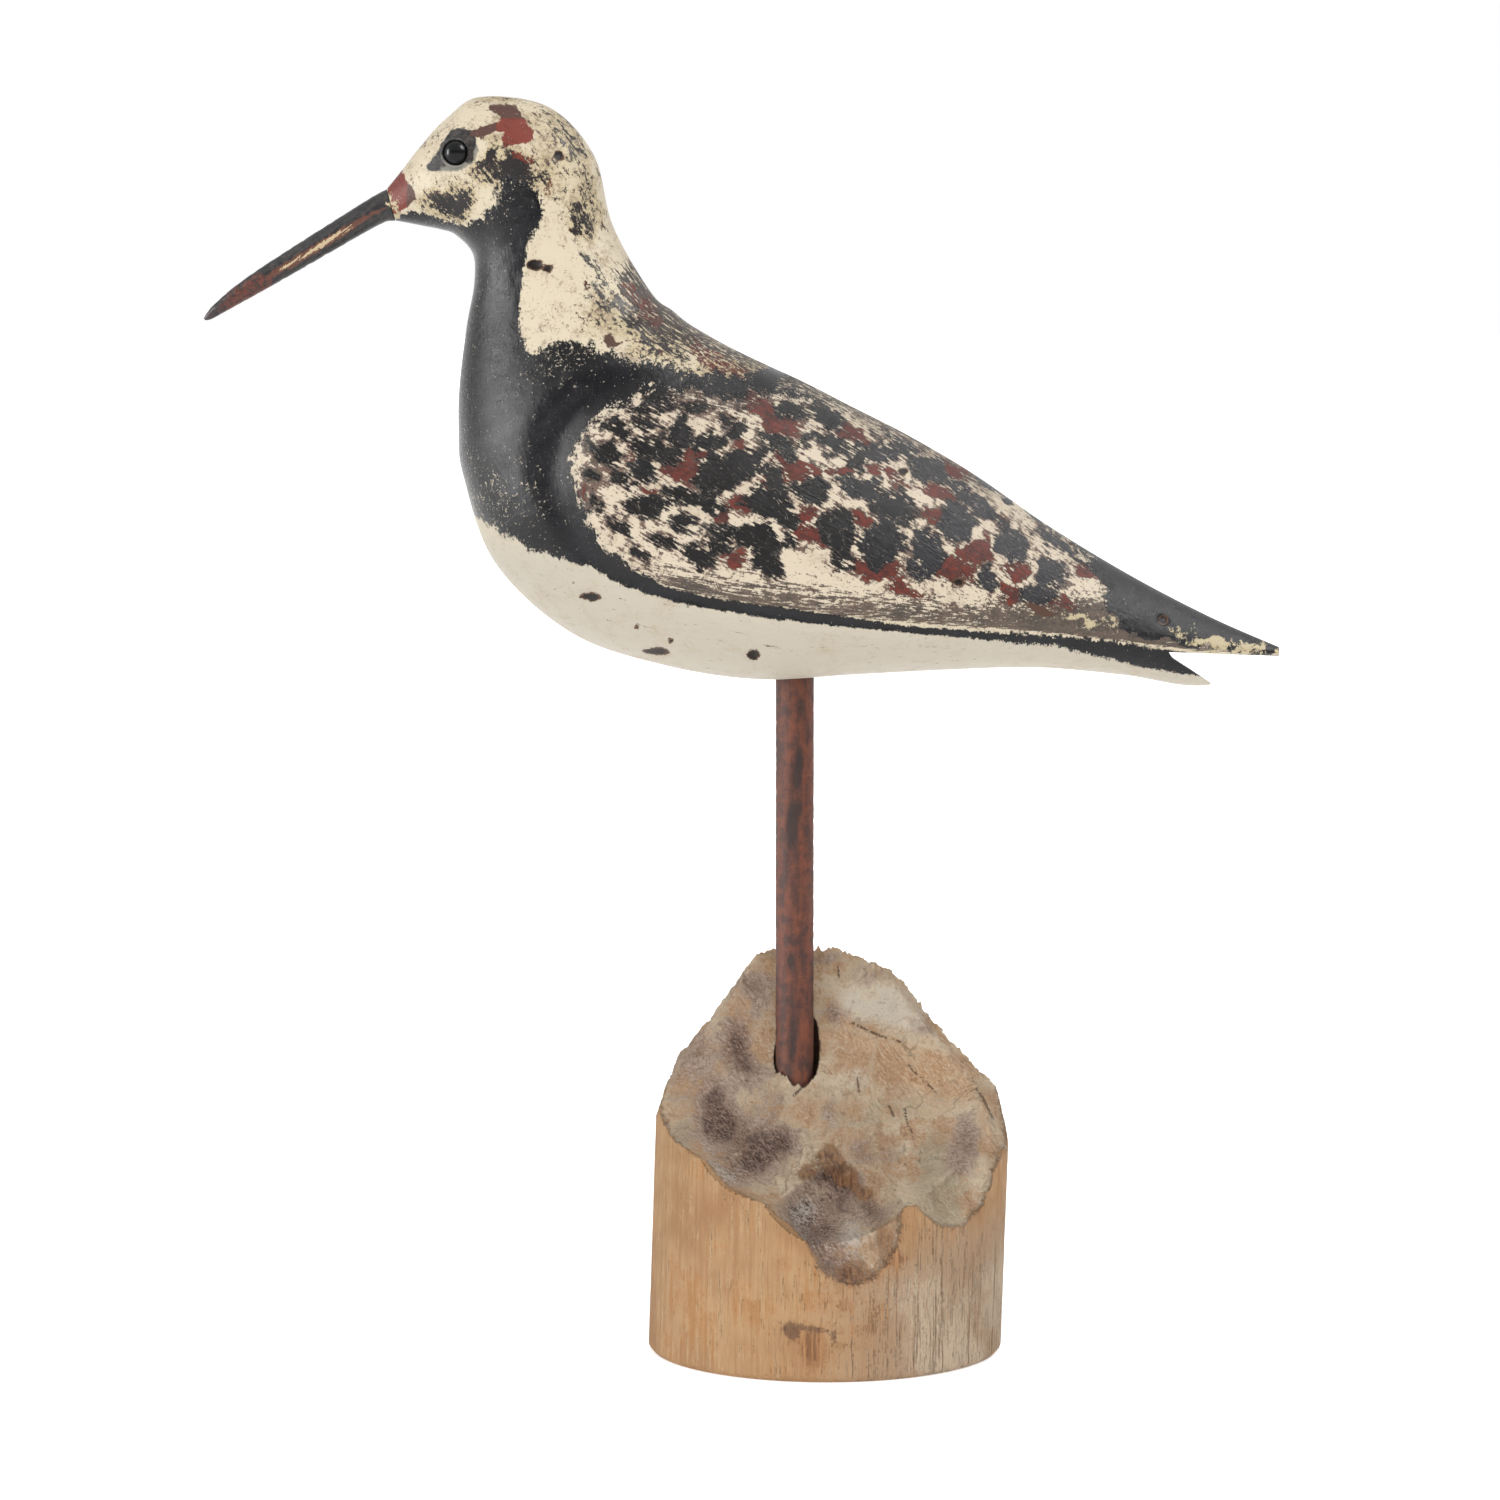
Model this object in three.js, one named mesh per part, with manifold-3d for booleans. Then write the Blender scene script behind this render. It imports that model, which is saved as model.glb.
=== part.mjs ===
// A shorebird decoy: a carved and painted wooden bird with a let-in bill and glass bead eyes,
// on a steel rod that stands in the stub of a gnawed log.
// Millimetres, +Z up. The origin is the middle of the log's underside, and the bird faces -X.

import * as THREE from "three";
import { mergeVertices } from "three/addons/utils/BufferGeometryUtils.js";
import Module from "manifold-3d";

// Driving sizes
const BIRD_LENGTH = 267; // bill tip to wing tip
const BODY_WIDTH = 66; // across the wings
const EYE_DIAMETER = 6.4;
const EYE_PROUD = 2.3; // how far a bead stands out of the cheek
const BILL_TENON_DIAMETER = 5;
const BILL_TENON_LENGTH = 9;
const BILL_TENON_OVERLAP = 1.5; // how far the tenon starts inside the bill
const ROD_DIAMETER = 9.6;
const ROD_LENGTH = 155;
const ROD_IN_BIRD = 24; // how much of the rod is let into the belly
const ROD_END_CHAMFER = 0.6;
const ROD_OFF_CENTRE = -7.6; // the rod stands this far along X from the middle of the log
const LOG_DIAMETER = 89;
const LOG_HEIGHT = 101; // underside to the highest crest
const LOG_FOOT_ROUNDING = 1.2;
const LOG_LEAN = 3.4; // how far its top leans towards +X
const ROD_HOLE_DIAMETER = 11.4; // a loose drilled hole, wider than the rod
const ROD_HOLE_SHIFT = 0.5; // the rod leans to the -X side of its hole
const ROD_HOLE_FLOOR = 38; // above the log's underside
const CLEARANCE = 0.3;

// How finely the free forms are drawn
const BIRD_STATIONS = 58;
const POINTS_ABOVE_WING_EDGE = 12;
const POINTS_BELOW_WING_EDGE = 9;
const BILL_STATIONS = 14;
const BILL_POINTS = 16;
const BEAD_SIDES = 16;
const BEAD_RINGS = 10;
const ROD_SIDES = 28;
const TENON_SIDES = 20;
const LOG_SIDES = 46;
const SCOOP_STEPS = 6;
const SCOOP_SIDES = 24;
const CURVE_SAMPLES = 160;
const GATHERING = 0.14; // how strongly a rib's points gather at the wing's edge

const BELLY_Z = ROD_HOLE_FLOOR + CLEARANCE + ROD_LENGTH - ROD_IN_BIRD;
const along = BIRD_LENGTH / 100;
const across = BODY_WIDTH / 100;

// The carving's ribs, from the face to the wing tips. Each crosses the side profile from a point on the
// back to one on the breast or belly, [x, z] in hundredths of the bird's length from where the rod enters.
// half: half the width, in hundredths of the body's width. widest: how far up the rib that width lies.
// roof: the fullness of the upper half, where 2 is an ellipse and less is more like a roof.
const BIRD_RIBS = [
  { back: [-37.8, 45.5], breast: [-37.0, 42.5], half: 6.0, widest: 0.5, roof: 2.1 }, // bill seat
  { back: [-36.4, 47.2], breast: [-35.9, 42.3], half: 9.6, widest: 0.5, roof: 2.1 },
  { back: [-34.5, 49.6], breast: [-34.4, 42.0], half: 13.6, widest: 0.52, roof: 2.1 }, // lores
  { back: [-32.2, 52.0], breast: [-32.9, 41.7], half: 17.6, widest: 0.54, roof: 2.1 },
  { back: [-29.1, 53.9], breast: [-31.5, 41.2], half: 20.8, widest: 0.54, roof: 2.1 }, // eyes
  { back: [-22.9, 53.0], breast: [-29.9, 39.4], half: 23.4, widest: 0.52, roof: 2.1 }, // crown
  { back: [-18.7, 48.6], breast: [-29.8, 36.6], half: 22.8, widest: 0.5, roof: 2.0 }, // nape
  { back: [-16.9, 42.0], breast: [-30.5, 32.8], half: 24.0, widest: 0.5, roof: 2.0 }, // neck
  { back: [-13.4, 35.9], breast: [-31.2, 27.3], half: 31.5, widest: 0.5, roof: 2.0 },
  { back: [-11.4, 34.2], breast: [-31.3, 23.1], half: 37.0, widest: 0.5, roof: 2.0 },
  { back: [-9.6, 32.8], breast: [-30.9, 18.9], half: 41.5, widest: 0.5, roof: 2.0 }, // shoulders
  { back: [-6.2, 30.9], breast: [-27.9, 10.7], half: 47.8, widest: 0.5, roof: 2.05 },
  { back: [-2.9, 29.3], breast: [-20.8, 4.2], half: 50.0, widest: 0.5, roof: 2.1 }, // breast
  { back: [0.8, 27.6], breast: [-12.1, 1.2], half: 49.8, widest: 0.49, roof: 2.1 },
  { back: [5.3, 25.3], breast: [-3.3, -0.1], half: 47.8, widest: 0.47, roof: 2.05 }, // belly
  { back: [10.7, 22.55], breast: [5.5, 0.35], half: 43.8, widest: 0.43, roof: 1.95 },
  { back: [16.8, 18.95], breast: [14.3, 0.8], half: 37.2, widest: 0.38, roof: 1.85 },
  { back: [23.6, 14.25], breast: [22.6, 1.0], half: 29.0, widest: 0.36, roof: 1.75 }, // rump
  { back: [31.3, 9.6], breast: [30.6, 0.3], half: 20.8, widest: 0.38, roof: 1.7 },
  { back: [38.8, 5.7], breast: [38.4, -0.7], half: 12.4, widest: 0.48, roof: 1.8 }, // tail
  { back: [45.2, 2.9], breast: [45.2, 1.9], half: 3.6, widest: 0.5, roof: 2.0 }, // wing tips
];
const BELLY_FULLNESS = 2.15;

// The folded wing's outline in side view, round from the shoulder, in hundredths of the bird's length: x,
// z, the depth carved away at the outline, and how far that hollow reaches outside the wing and into it.
const WING_OUTLINE = [
  [-21.9, 20.5, 0.9, 3.8, 3.2], // shoulder
  [-21.2, 16.5, 0.85, 3.2, 2.8],
  [-17.9, 11.3, 0.75, 2.2, 2.2],
  [-11.5, 8.6, 0.65, 1.7, 1.7],
  [-1.4, 6.8, 0.6, 1.6, 1.4],
  [12.3, 5.3, 0.7, 2.0, 1.2],
  [26.1, 4.2, 0.9, 6.0, 1.0],
  [34.5, 2.9, 1.0, 14.0, 0.9], // above the tail
  [38.6, 2.3, 1.5, 14.0, 0.8],
  [47.0, 1.9, 1.5, 14.0, 0.8],
  [53.0, 6.0, 0.0, 1.0, 1.0],
  [30.0, 22.0, 0.0, 1.0, 1.0], // from here on the outline lies clear of the back
  [10.0, 34.0, 0.0, 1.0, 1.0],
  [-3.3, 27.9, 0.12, 1.6, 1.6], // scapulars
  [-8.7, 28.0, 0.3, 2.0, 2.0],
  [-14.2, 27.4, 0.5, 2.4, 2.4],
  [-17.8, 26.3, 0.65, 3.0, 2.8],
  [-20.4, 24.5, 0.8, 3.4, 3.2],
];
const WING_EDGE_DEPTH = 0.9; // the most that the wing's own edge is rounded back
const MOST_HOLLOWED = 0.6; // the most that a hollow takes of a rib's half width

// The gap between wing tips and tail in side view, open at the rear, in hundredths of the bird's length.
const TAIL_NOTCH = [
  [34.7, 2.6],
  [45.6, 2.05],
  [50.0, 1.9],
  [50.0, -5.0],
  [38.85, -5.0],
  [38.85, -0.45],
  [36.9, 0.85],
  [35.1, 2.0],
];

// The bill's ribs, as the bird's: from the tip, which droops, to its seat on the face's flat front.
const BILL_RIBS = [
  { back: [-54.85, 33.55], breast: [-54.7, 33.35], half: 0.6, widest: 0.5, roof: 2.1 },
  { back: [-54.5, 34.15], breast: [-54.1, 33.45], half: 1.6, widest: 0.5, roof: 2.1 },
  { back: [-53.4, 35.35], breast: [-52.8, 34.15], half: 2.6, widest: 0.5, roof: 2.1 },
  { back: [-50.4, 37.65], breast: [-49.5, 35.95], half: 3.4, widest: 0.5, roof: 2.1 },
  { back: [-45.6, 40.75], breast: [-44.5, 38.75], half: 4.0, widest: 0.5, roof: 2.1 },
  { back: [-39.6, 44.5], breast: [-38.6, 42.1], half: 4.7, widest: 0.5, roof: 2.1 },
  { ...BIRD_RIBS[0], half: 4.9 },
];
const EYE_AT_SHARES = [-31.2, 48.6]; // in side view, in hundredths of the bird's length

// The bites that shaped the log's top. toward: the way the cut faces, in degrees from +X. lift: how far
// it faces up. reach: from the log's heart to the floor of the cut. scoop: the radius of its hollow. Both
// are shares of the log's radius.
const LOG_HEART = 0.79; // height of the log's heart, a share of its radius
const LOG_UNCUT = 2.4; // height of the log before it was bitten, in the same shares
const SCOOP_SHAFT = 1.7; // half the width of the widest cutter, in the same shares
const LOG_BITES = [
  { toward: -6, lift: 45, reach: 1.095, scoop: 8.0 }, // right slope
  { toward: -8, lift: 28, reach: 1.055, scoop: 4.0 },
  { toward: 5, lift: 70, reach: 1.36, scoop: 6.0 }, // crest
  { toward: 180, lift: 78, reach: 1.48, scoop: 5.0 },
  { toward: 180, lift: 40, reach: 1.228, scoop: 8.0 }, // left slope
  { toward: 178, lift: 22, reach: 1.125, scoop: 4.0 },
  { toward: 90, lift: 33, reach: 0.9, scoop: 3.5 }, // far side
  { toward: 132, lift: 32, reach: 1.06, scoop: 3.0 },
  { toward: 45, lift: 34, reach: 1.08, scoop: 3.0 },
  { toward: 100, lift: 29, reach: 0.88, scoop: 0.8 },
  { toward: 77, lift: 38, reach: 0.905, scoop: 0.7 },
  { toward: 70, lift: 9, reach: 0.95, scoop: 0.7 },
  { toward: 130, lift: 12, reach: 0.955, scoop: 0.6 },
  { toward: -90, lift: 49, reach: 0.683, scoop: 3.43 }, // front, where the rod stands
  { toward: -39, lift: 34, reach: 0.949, scoop: 3.95 }, // bevel down to the right
  { toward: -61, lift: 47, reach: 0.629, scoop: 1.13 }, // the front's single bites
  { toward: -92, lift: 47, reach: 0.547, scoop: 0.99 },
  { toward: -46, lift: 20, reach: 0.869, scoop: 0.65 },
  { toward: -83, lift: 3, reach: 0.905, scoop: 0.59 },
  { toward: -89, lift: 24, reach: 0.535, scoop: 0.4 },
  { toward: -92, lift: 56, reach: 0.632, scoop: 1.05 },
  { toward: -132, lift: 48, reach: 0.678, scoop: 0.54 },
  { toward: -111, lift: 41, reach: 0.56, scoop: 0.53 },
  { toward: -137, lift: 64, reach: 0.83, scoop: 0.57 },
  { toward: -126, lift: 39, reach: 0.862, scoop: 0.35 },
  { toward: -144, lift: 45, reach: 0.972, scoop: 1.32 },
];

const WOOD_PAINTED = { color: 0x8f8672, roughness: 0.45, metalness: 0 };
const BILL_BROWN = { color: 0x4a332b, roughness: 0.45, metalness: 0 };
const BLACK_GLASS = { color: 0x101114, roughness: 0.08, metalness: 0 };
const RUSTY_STEEL = { color: 0x5b3324, roughness: 0.7, metalness: 0.35 };
const DRIFTWOOD = { color: 0xa98661, roughness: 0.85, metalness: 0 };

const UP = new THREE.Vector3(0, 1, 0); // the way a lathe's axis and a cylinder's axis point

const wasm = await Module();
wasm.setup();

function points2(pairs) {
  return pairs.map(([x, y]) => new THREE.Vector2(x, y));
}

function smooth(x) {
  const t = THREE.MathUtils.clamp(x, 0, 1);
  return t * t * (3 - 2 * t);
}

// Returns a geometry's closed surface as a solid.
function solid(geometry) {
  const bare = geometry.clone();
  bare.deleteAttribute("normal");
  bare.deleteAttribute("uv");
  const merged = mergeVertices(bare, 1e-4);
  return new wasm.Manifold(
    new wasm.Mesh({
      numProp: 3,
      vertProperties: merged.attributes.position.array,
      triVerts: new Uint32Array(merged.index.array),
    }),
  );
}

function geometryOf(cut) {
  const mesh = cut.getMesh();
  const geometry = new THREE.BufferGeometry();
  geometry.setAttribute("position", new THREE.BufferAttribute(mesh.vertProperties, 3));
  geometry.setIndex(new THREE.BufferAttribute(mesh.triVerts, 1));
  geometry.computeVertexNormals();
  return geometry;
}

function named(name, geometry, look) {
  const mesh = new THREE.Mesh(geometry, new THREE.MeshStandardMaterial(look));
  mesh.name = name;
  return mesh;
}

// Joins closed rings of equal count into one closed surface, with a fan over each end.
function skin(rings) {
  const count = rings[0].length;
  const points = rings.flat();
  const index = [];
  for (let r = 0; r + 1 < rings.length; r++) {
    for (let i = 0; i < count; i++) {
      const a = r * count + i;
      const b = r * count + ((i + 1) % count);
      index.push(a, a + count, b, b, a + count, b + count);
    }
  }
  for (const [first, turn] of [[0, 1], [(rings.length - 1) * count, -1]]) {
    const middle = new THREE.Vector3();
    for (let i = 0; i < count; i++) middle.addScaledVector(points[first + i], 1 / count);
    points.push(middle);
    for (let i = 0; i < count; i++) {
      const a = first + i;
      const b = first + ((i + 1) % count);
      index.push(...(turn > 0 ? [points.length - 1, a, b] : [points.length - 1, b, a]));
    }
  }
  const geometry = new THREE.BufferGeometry().setFromPoints(points);
  geometry.setIndex(index);
  return geometry;
}

// A smooth run of ribs: rib(t) for t from 0 to 1, in millimetres.
function ribCurve(ribs) {
  const spline = (read) => new THREE.SplineCurve(ribs.map((r) => new THREE.Vector2(...read(r))));
  const back = spline((r) => r.back);
  const breast = spline((r) => r.breast);
  const girth = spline((r) => [r.half, r.widest]);
  const fullness = spline((r) => [r.roof, 0]);
  return (t) => ({
    back: back.getPoint(t).multiplyScalar(along),
    breast: breast.getPoint(t).multiplyScalar(along),
    half: girth.getPoint(t).x * across,
    widest: girth.getPoint(t).y,
    roof: fullness.getPoint(t).x,
  });
}

// The point of a rib at an angle from 0 on the back, through the +Y side, to pi on the breast.
function ribPoint(rib, angle) {
  const up = Math.cos(angle);
  const power = 2 / (up > 0 ? rib.roof : BELLY_FULLNESS);
  const reach = Math.abs(up) ** power;
  const height = up > 0 ? rib.widest + (1 - rib.widest) * reach : rib.widest * (1 - reach);
  const side = rib.half * Math.abs(Math.sin(angle)) ** power;
  const profile = rib.breast.clone().lerp(rib.back, height);
  return new THREE.Vector3(profile.x, side, profile.y);
}

// The wing's outline as a closed run of short straight pieces, in millimetres.
const wingLine = (() => {
  const closedCurve = (points) => new THREE.CatmullRomCurve3(points, true, "catmullrom");
  const place = closedCurve(WING_OUTLINE.map(([x, z]) => new THREE.Vector3(x, z, 0)));
  const hollow = closedCurve(WING_OUTLINE.map((row) => new THREE.Vector3(...row.slice(2))));
  return Array.from({ length: CURVE_SAMPLES }, (_, i) => {
    const at = place.getPoint(i / CURVE_SAMPLES).multiplyScalar(along);
    return { x: at.x, z: at.y, hollow: hollow.getPoint(i / CURVE_SAMPLES).multiplyScalar(along) };
  });
})();

// How far a point in side view lies inside the wing's outline, negative outside, and the hollow there.
function wingPlace(x, z) {
  let nearest = { distance: Infinity };
  let inside = false;
  wingLine.forEach((a, i) => {
    const b = wingLine[(i + 1) % wingLine.length];
    const [dx, dz] = [b.x - a.x, b.z - a.z];
    const t = THREE.MathUtils.clamp(((x - a.x) * dx + (z - a.z) * dz) / (dx * dx + dz * dz), 0, 1);
    const distance = Math.hypot(x - a.x - t * dx, z - a.z - t * dz);
    if (distance < nearest.distance) nearest = { distance, a, b, t };
    if (a.z > z !== b.z > z && x < a.x + ((z - a.z) / dz) * dx) inside = !inside;
  });
  const distance = inside ? nearest.distance : -nearest.distance;
  const [depth, outside, edge] = nearest.a.hollow.clone().lerp(nearest.b.hollow, nearest.t).toArray();
  return { distance, depth: Math.max(0, depth), outside, edge };
}

// The rib point with the wing carved proud of the body.
function carvedPoint(rib, angle) {
  const point = ribPoint(rib, angle);
  const { distance, depth, outside, edge } = wingPlace(point.x, point.z);
  const hollow =
    distance > 0
      ? Math.min(depth, WING_EDGE_DEPTH * along) * (1 - smooth(distance / edge))
      : depth * (1 - smooth(-distance / outside));
  point.y *= 1 - Math.min(MOST_HOLLOWED, hollow / rib.half);
  return point;
}

// The angle at which a rib leaves the wing over its lower edge, or null where it doesn't cross the wing.
function lowerEdgeAngle(rib) {
  let found = null;
  let before = false;
  for (let i = 0; i <= CURVE_SAMPLES; i++) {
    const angle = (i / CURVE_SAMPLES) * Math.PI;
    const point = ribPoint(rib, angle);
    const inside = wingPlace(point.x, point.z).distance > 0;
    if (before && !inside) found = angle;
    before = inside;
  }
  return found;
}

// Spreads angles over each half of a rib and gathers them beside the wing's edge, to keep its step crisp.
function ribAngles(edge) {
  const angles = [];
  for (let i = 0; i < POINTS_ABOVE_WING_EDGE; i++) {
    const share = i / (POINTS_ABOVE_WING_EDGE - 1);
    angles.push(edge * (share + GATHERING * Math.sin(Math.PI * share)));
  }
  for (let i = 1; i <= POINTS_BELOW_WING_EDGE; i++) {
    const share = i / POINTS_BELOW_WING_EDGE;
    angles.push(edge + (Math.PI - edge) * (share - GATHERING * Math.sin(Math.PI * share)));
  }
  return angles;
}

// A closed ring from one side's points: down the +Y side and back up the -Y side.
function bothSides(side) {
  const mirrored = side.slice(1, -1).reverse();
  return [...side, ...mirrored.map((p) => new THREE.Vector3(p.x, -p.y, p.z))];
}

function wholeCarving() {
  const rib = ribCurve(BIRD_RIBS);
  const ribs = Array.from({ length: BIRD_STATIONS }, (_, s) => rib(s / (BIRD_STATIONS - 1)));
  const edges = ribs.map(lowerEdgeAngle);
  let edge = edges.find((angle) => angle !== null);
  const rings = ribs.map((r, s) => {
    edge = edges[s] ?? edge;
    return bothSides(ribAngles(edge).map((angle) => carvedPoint(r, angle)));
  });
  return skin(rings);
}

// The middle of the bill's seat on the face, and the way that its root points out of it.
function billRoot() {
  const rib = ribCurve(BILL_RIBS);
  const middle = (t) => {
    const profile = rib(t).back.lerp(rib(t).breast, 0.5);
    return new THREE.Vector3(profile.x, 0, profile.y);
  };
  const seat = middle(1);
  const partWayOut = middle(0.7);
  return { seat, outward: partWayOut.sub(seat).normalize() };
}

// The round tenon on the bill's end, or with a clearance the socket for it in the face.
function tenon(clearance) {
  const { seat, outward } = billRoot();
  const length = BILL_TENON_LENGTH + clearance + BILL_TENON_OVERLAP;
  const radius = BILL_TENON_DIAMETER / 2 + clearance;
  const peg = new THREE.CylinderGeometry(radius, radius, length, TENON_SIDES);
  peg.translate(0, BILL_TENON_OVERLAP - length / 2, 0);
  peg.applyQuaternion(new THREE.Quaternion().setFromUnitVectors(UP, outward));
  return solid(peg.translate(...seat));
}

// The bill with its tenon, standing off the face by the clearance.
function billGeometry() {
  const rib = ribCurve(BILL_RIBS);
  const angles = Array.from({ length: BILL_POINTS / 2 + 1 }, (_, i) => (2 * Math.PI * i) / BILL_POINTS);
  const rings = Array.from({ length: BILL_STATIONS }, (_, s) => {
    const here = rib(s / (BILL_STATIONS - 1));
    return bothSides(angles.map((angle) => ribPoint(here, angle)));
  });
  const bill = geometryOf(solid(skin(rings)).add(tenon(0)));
  return bill.translate(...billRoot().outward.multiplyScalar(CLEARANCE));
}

function notchCutter() {
  const shape = new THREE.Shape(points2(TAIL_NOTCH).map((point) => point.multiplyScalar(along)));
  const prism = new THREE.ExtrudeGeometry(shape, { depth: BODY_WIDTH, bevelEnabled: false });
  prism.translate(0, 0, -BODY_WIDTH / 2);
  prism.rotateX(Math.PI / 2);
  return solid(prism);
}

// The centre of a bead on the cheek, from where a line across from one side, 1 for +Y and -1 for -Y, meets
// the carving.
function eyeCentre(carving, side) {
  const [x, z] = EYE_AT_SHARES.map((share) => share * along);
  const probe = new THREE.Mesh(carving, new THREE.MeshBasicMaterial({ side: THREE.DoubleSide }));
  const from = new THREE.Vector3(x, side * BODY_WIDTH, z);
  const hit = new THREE.Raycaster(from, new THREE.Vector3(0, -side, 0)).intersectObject(probe)[0];
  return new THREE.Vector3(x, hit.point.y - side * (EYE_DIAMETER / 2 - EYE_PROUD), z);
}

function bead(centre, radius) {
  return new THREE.SphereGeometry(radius, BEAD_SIDES, BEAD_RINGS).translate(centre.x, centre.y, centre.z);
}

function rodCylinder(radius, low, high, chamfer) {
  const profile = [
    [0, low],
    [radius - chamfer, low],
    [radius, low + chamfer],
    [radius, high - chamfer],
    [radius - chamfer, high],
    [0, high],
  ];
  return new THREE.LatheGeometry(points2(profile), ROD_SIDES).rotateX(Math.PI / 2);
}

// A bite's cutter: a round-bottomed shaft that comes in from outside and stops at the floor of the cut.
function scoopCutter({ toward, lift, reach, scoop }) {
  const spread = scoop > SCOOP_SHAFT ? Math.asin(SCOOP_SHAFT / scoop) : Math.PI / 2;
  const profile = Array.from({ length: SCOOP_STEPS + 1 }, (_, i) => {
    const angle = (spread * i) / SCOOP_STEPS;
    return new THREE.Vector2(scoop * Math.sin(angle), reach + scoop * (1 - Math.cos(angle)));
  });
  const outside = 2 * SCOOP_SHAFT;
  profile.push(new THREE.Vector2(profile.at(-1).x, outside), new THREE.Vector2(0, outside));
  const [azimuth, tilt] = [toward, lift].map(THREE.MathUtils.degToRad);
  const level = new THREE.Vector3(Math.cos(azimuth), Math.sin(azimuth), 0);
  const facing = level.multiplyScalar(Math.cos(tilt)).setZ(Math.sin(tilt));
  const cutter = new THREE.LatheGeometry(profile, SCOOP_SIDES);
  cutter.applyQuaternion(new THREE.Quaternion().setFromUnitVectors(UP, facing));
  cutter.translate(0, 0, LOG_HEART);
  return solid(cutter.scale(LOG_DIAMETER / 2, LOG_DIAMETER / 2, LOG_DIAMETER / 2));
}

// The log's stub: a round log, bitten down to its crest, drawn to its height and leaned.
function stubGeometry() {
  const radius = LOG_DIAMETER / 2;
  const uncut = LOG_UNCUT * radius;
  const profile = [
    [0, 0],
    [radius - LOG_FOOT_ROUNDING, 0],
    [radius, LOG_FOOT_ROUNDING],
    [radius, uncut],
    [0, uncut],
  ];
  let stub = solid(new THREE.LatheGeometry(points2(profile), LOG_SIDES).rotateX(Math.PI / 2));
  for (const bite of LOG_BITES) stub = stub.subtract(scoopCutter(bite));
  const geometry = geometryOf(stub);
  geometry.computeBoundingBox();
  geometry.scale(1, 1, LOG_HEIGHT / geometry.boundingBox.max.z);
  return geometry.applyMatrix4(new THREE.Matrix4().makeShear(0, 0, 0, 0, LOG_LEAN / LOG_HEIGHT, 0));
}

const carving = wholeCarving();
const eyes = { left_eye: eyeCentre(carving, -1), right_eye: eyeCentre(carving, 1) };

const rodBore = rodCylinder(ROD_DIAMETER / 2 + CLEARANCE, -ROD_DIAMETER, ROD_IN_BIRD + CLEARANCE, 0);
let bird = solid(carving).subtract(notchCutter()).subtract(tenon(CLEARANCE)).subtract(solid(rodBore));
for (const centre of Object.values(eyes)) {
  bird = bird.subtract(solid(bead(centre, EYE_DIAMETER / 2 + CLEARANCE)));
}

const figure = new THREE.Group();
figure.position.set(ROD_OFF_CENTRE, 0, BELLY_Z);
figure.add(named("carved_bird", geometryOf(bird), WOOD_PAINTED));
figure.add(named("bill", billGeometry(), BILL_BROWN));
for (const [name, centre] of Object.entries(eyes)) {
  figure.add(named(name, bead(centre, EYE_DIAMETER / 2), BLACK_GLASS));
}

const rodFoot = ROD_HOLE_FLOOR + CLEARANCE;
const rod = named(
  "stand_rod",
  rodCylinder(ROD_DIAMETER / 2, rodFoot, rodFoot + ROD_LENGTH, ROD_END_CHAMFER),
  RUSTY_STEEL,
);
rod.position.x = ROD_OFF_CENTRE;

const rodHole = rodCylinder(ROD_HOLE_DIAMETER / 2, ROD_HOLE_FLOOR, LOG_HEIGHT + ROD_DIAMETER, 0);
rodHole.translate(ROD_OFF_CENTRE + ROD_HOLE_SHIFT, 0, 0);
const log = solid(stubGeometry()).subtract(solid(rodHole));

const decoy = new THREE.Group();
decoy.add(figure, rod, named("driftwood_base", geometryOf(log), DRIFTWOOD));

export default decoy;
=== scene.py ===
"""The looks of a shorebird decoy: worn oil paint on carved wood, glass eyes, a rusty rod and a gnawed log.

Places on the bird are hundredths of its length in side view, from where the rod enters its belly, and the
log's bites are shares of its radius, both as in the part's source. Other sizes are millimetres, and meshes
are turned to metres when they are made.
"""

import math

import bpy
import numpy as np
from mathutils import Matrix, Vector


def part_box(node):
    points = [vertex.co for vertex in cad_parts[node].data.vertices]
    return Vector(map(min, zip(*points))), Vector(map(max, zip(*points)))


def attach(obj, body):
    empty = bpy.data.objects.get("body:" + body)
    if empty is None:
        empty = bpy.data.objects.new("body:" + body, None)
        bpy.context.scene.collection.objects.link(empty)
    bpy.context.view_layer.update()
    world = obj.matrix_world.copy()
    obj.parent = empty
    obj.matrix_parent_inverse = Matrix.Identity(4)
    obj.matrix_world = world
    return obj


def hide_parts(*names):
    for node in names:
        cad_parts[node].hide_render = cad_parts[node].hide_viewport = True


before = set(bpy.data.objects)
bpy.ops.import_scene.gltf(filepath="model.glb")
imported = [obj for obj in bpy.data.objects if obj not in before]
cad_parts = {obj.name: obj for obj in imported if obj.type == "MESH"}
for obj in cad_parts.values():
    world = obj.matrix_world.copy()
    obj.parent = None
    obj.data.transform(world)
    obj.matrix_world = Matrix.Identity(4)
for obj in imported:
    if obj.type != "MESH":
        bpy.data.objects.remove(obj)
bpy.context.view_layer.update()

MM = 0.001

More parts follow.
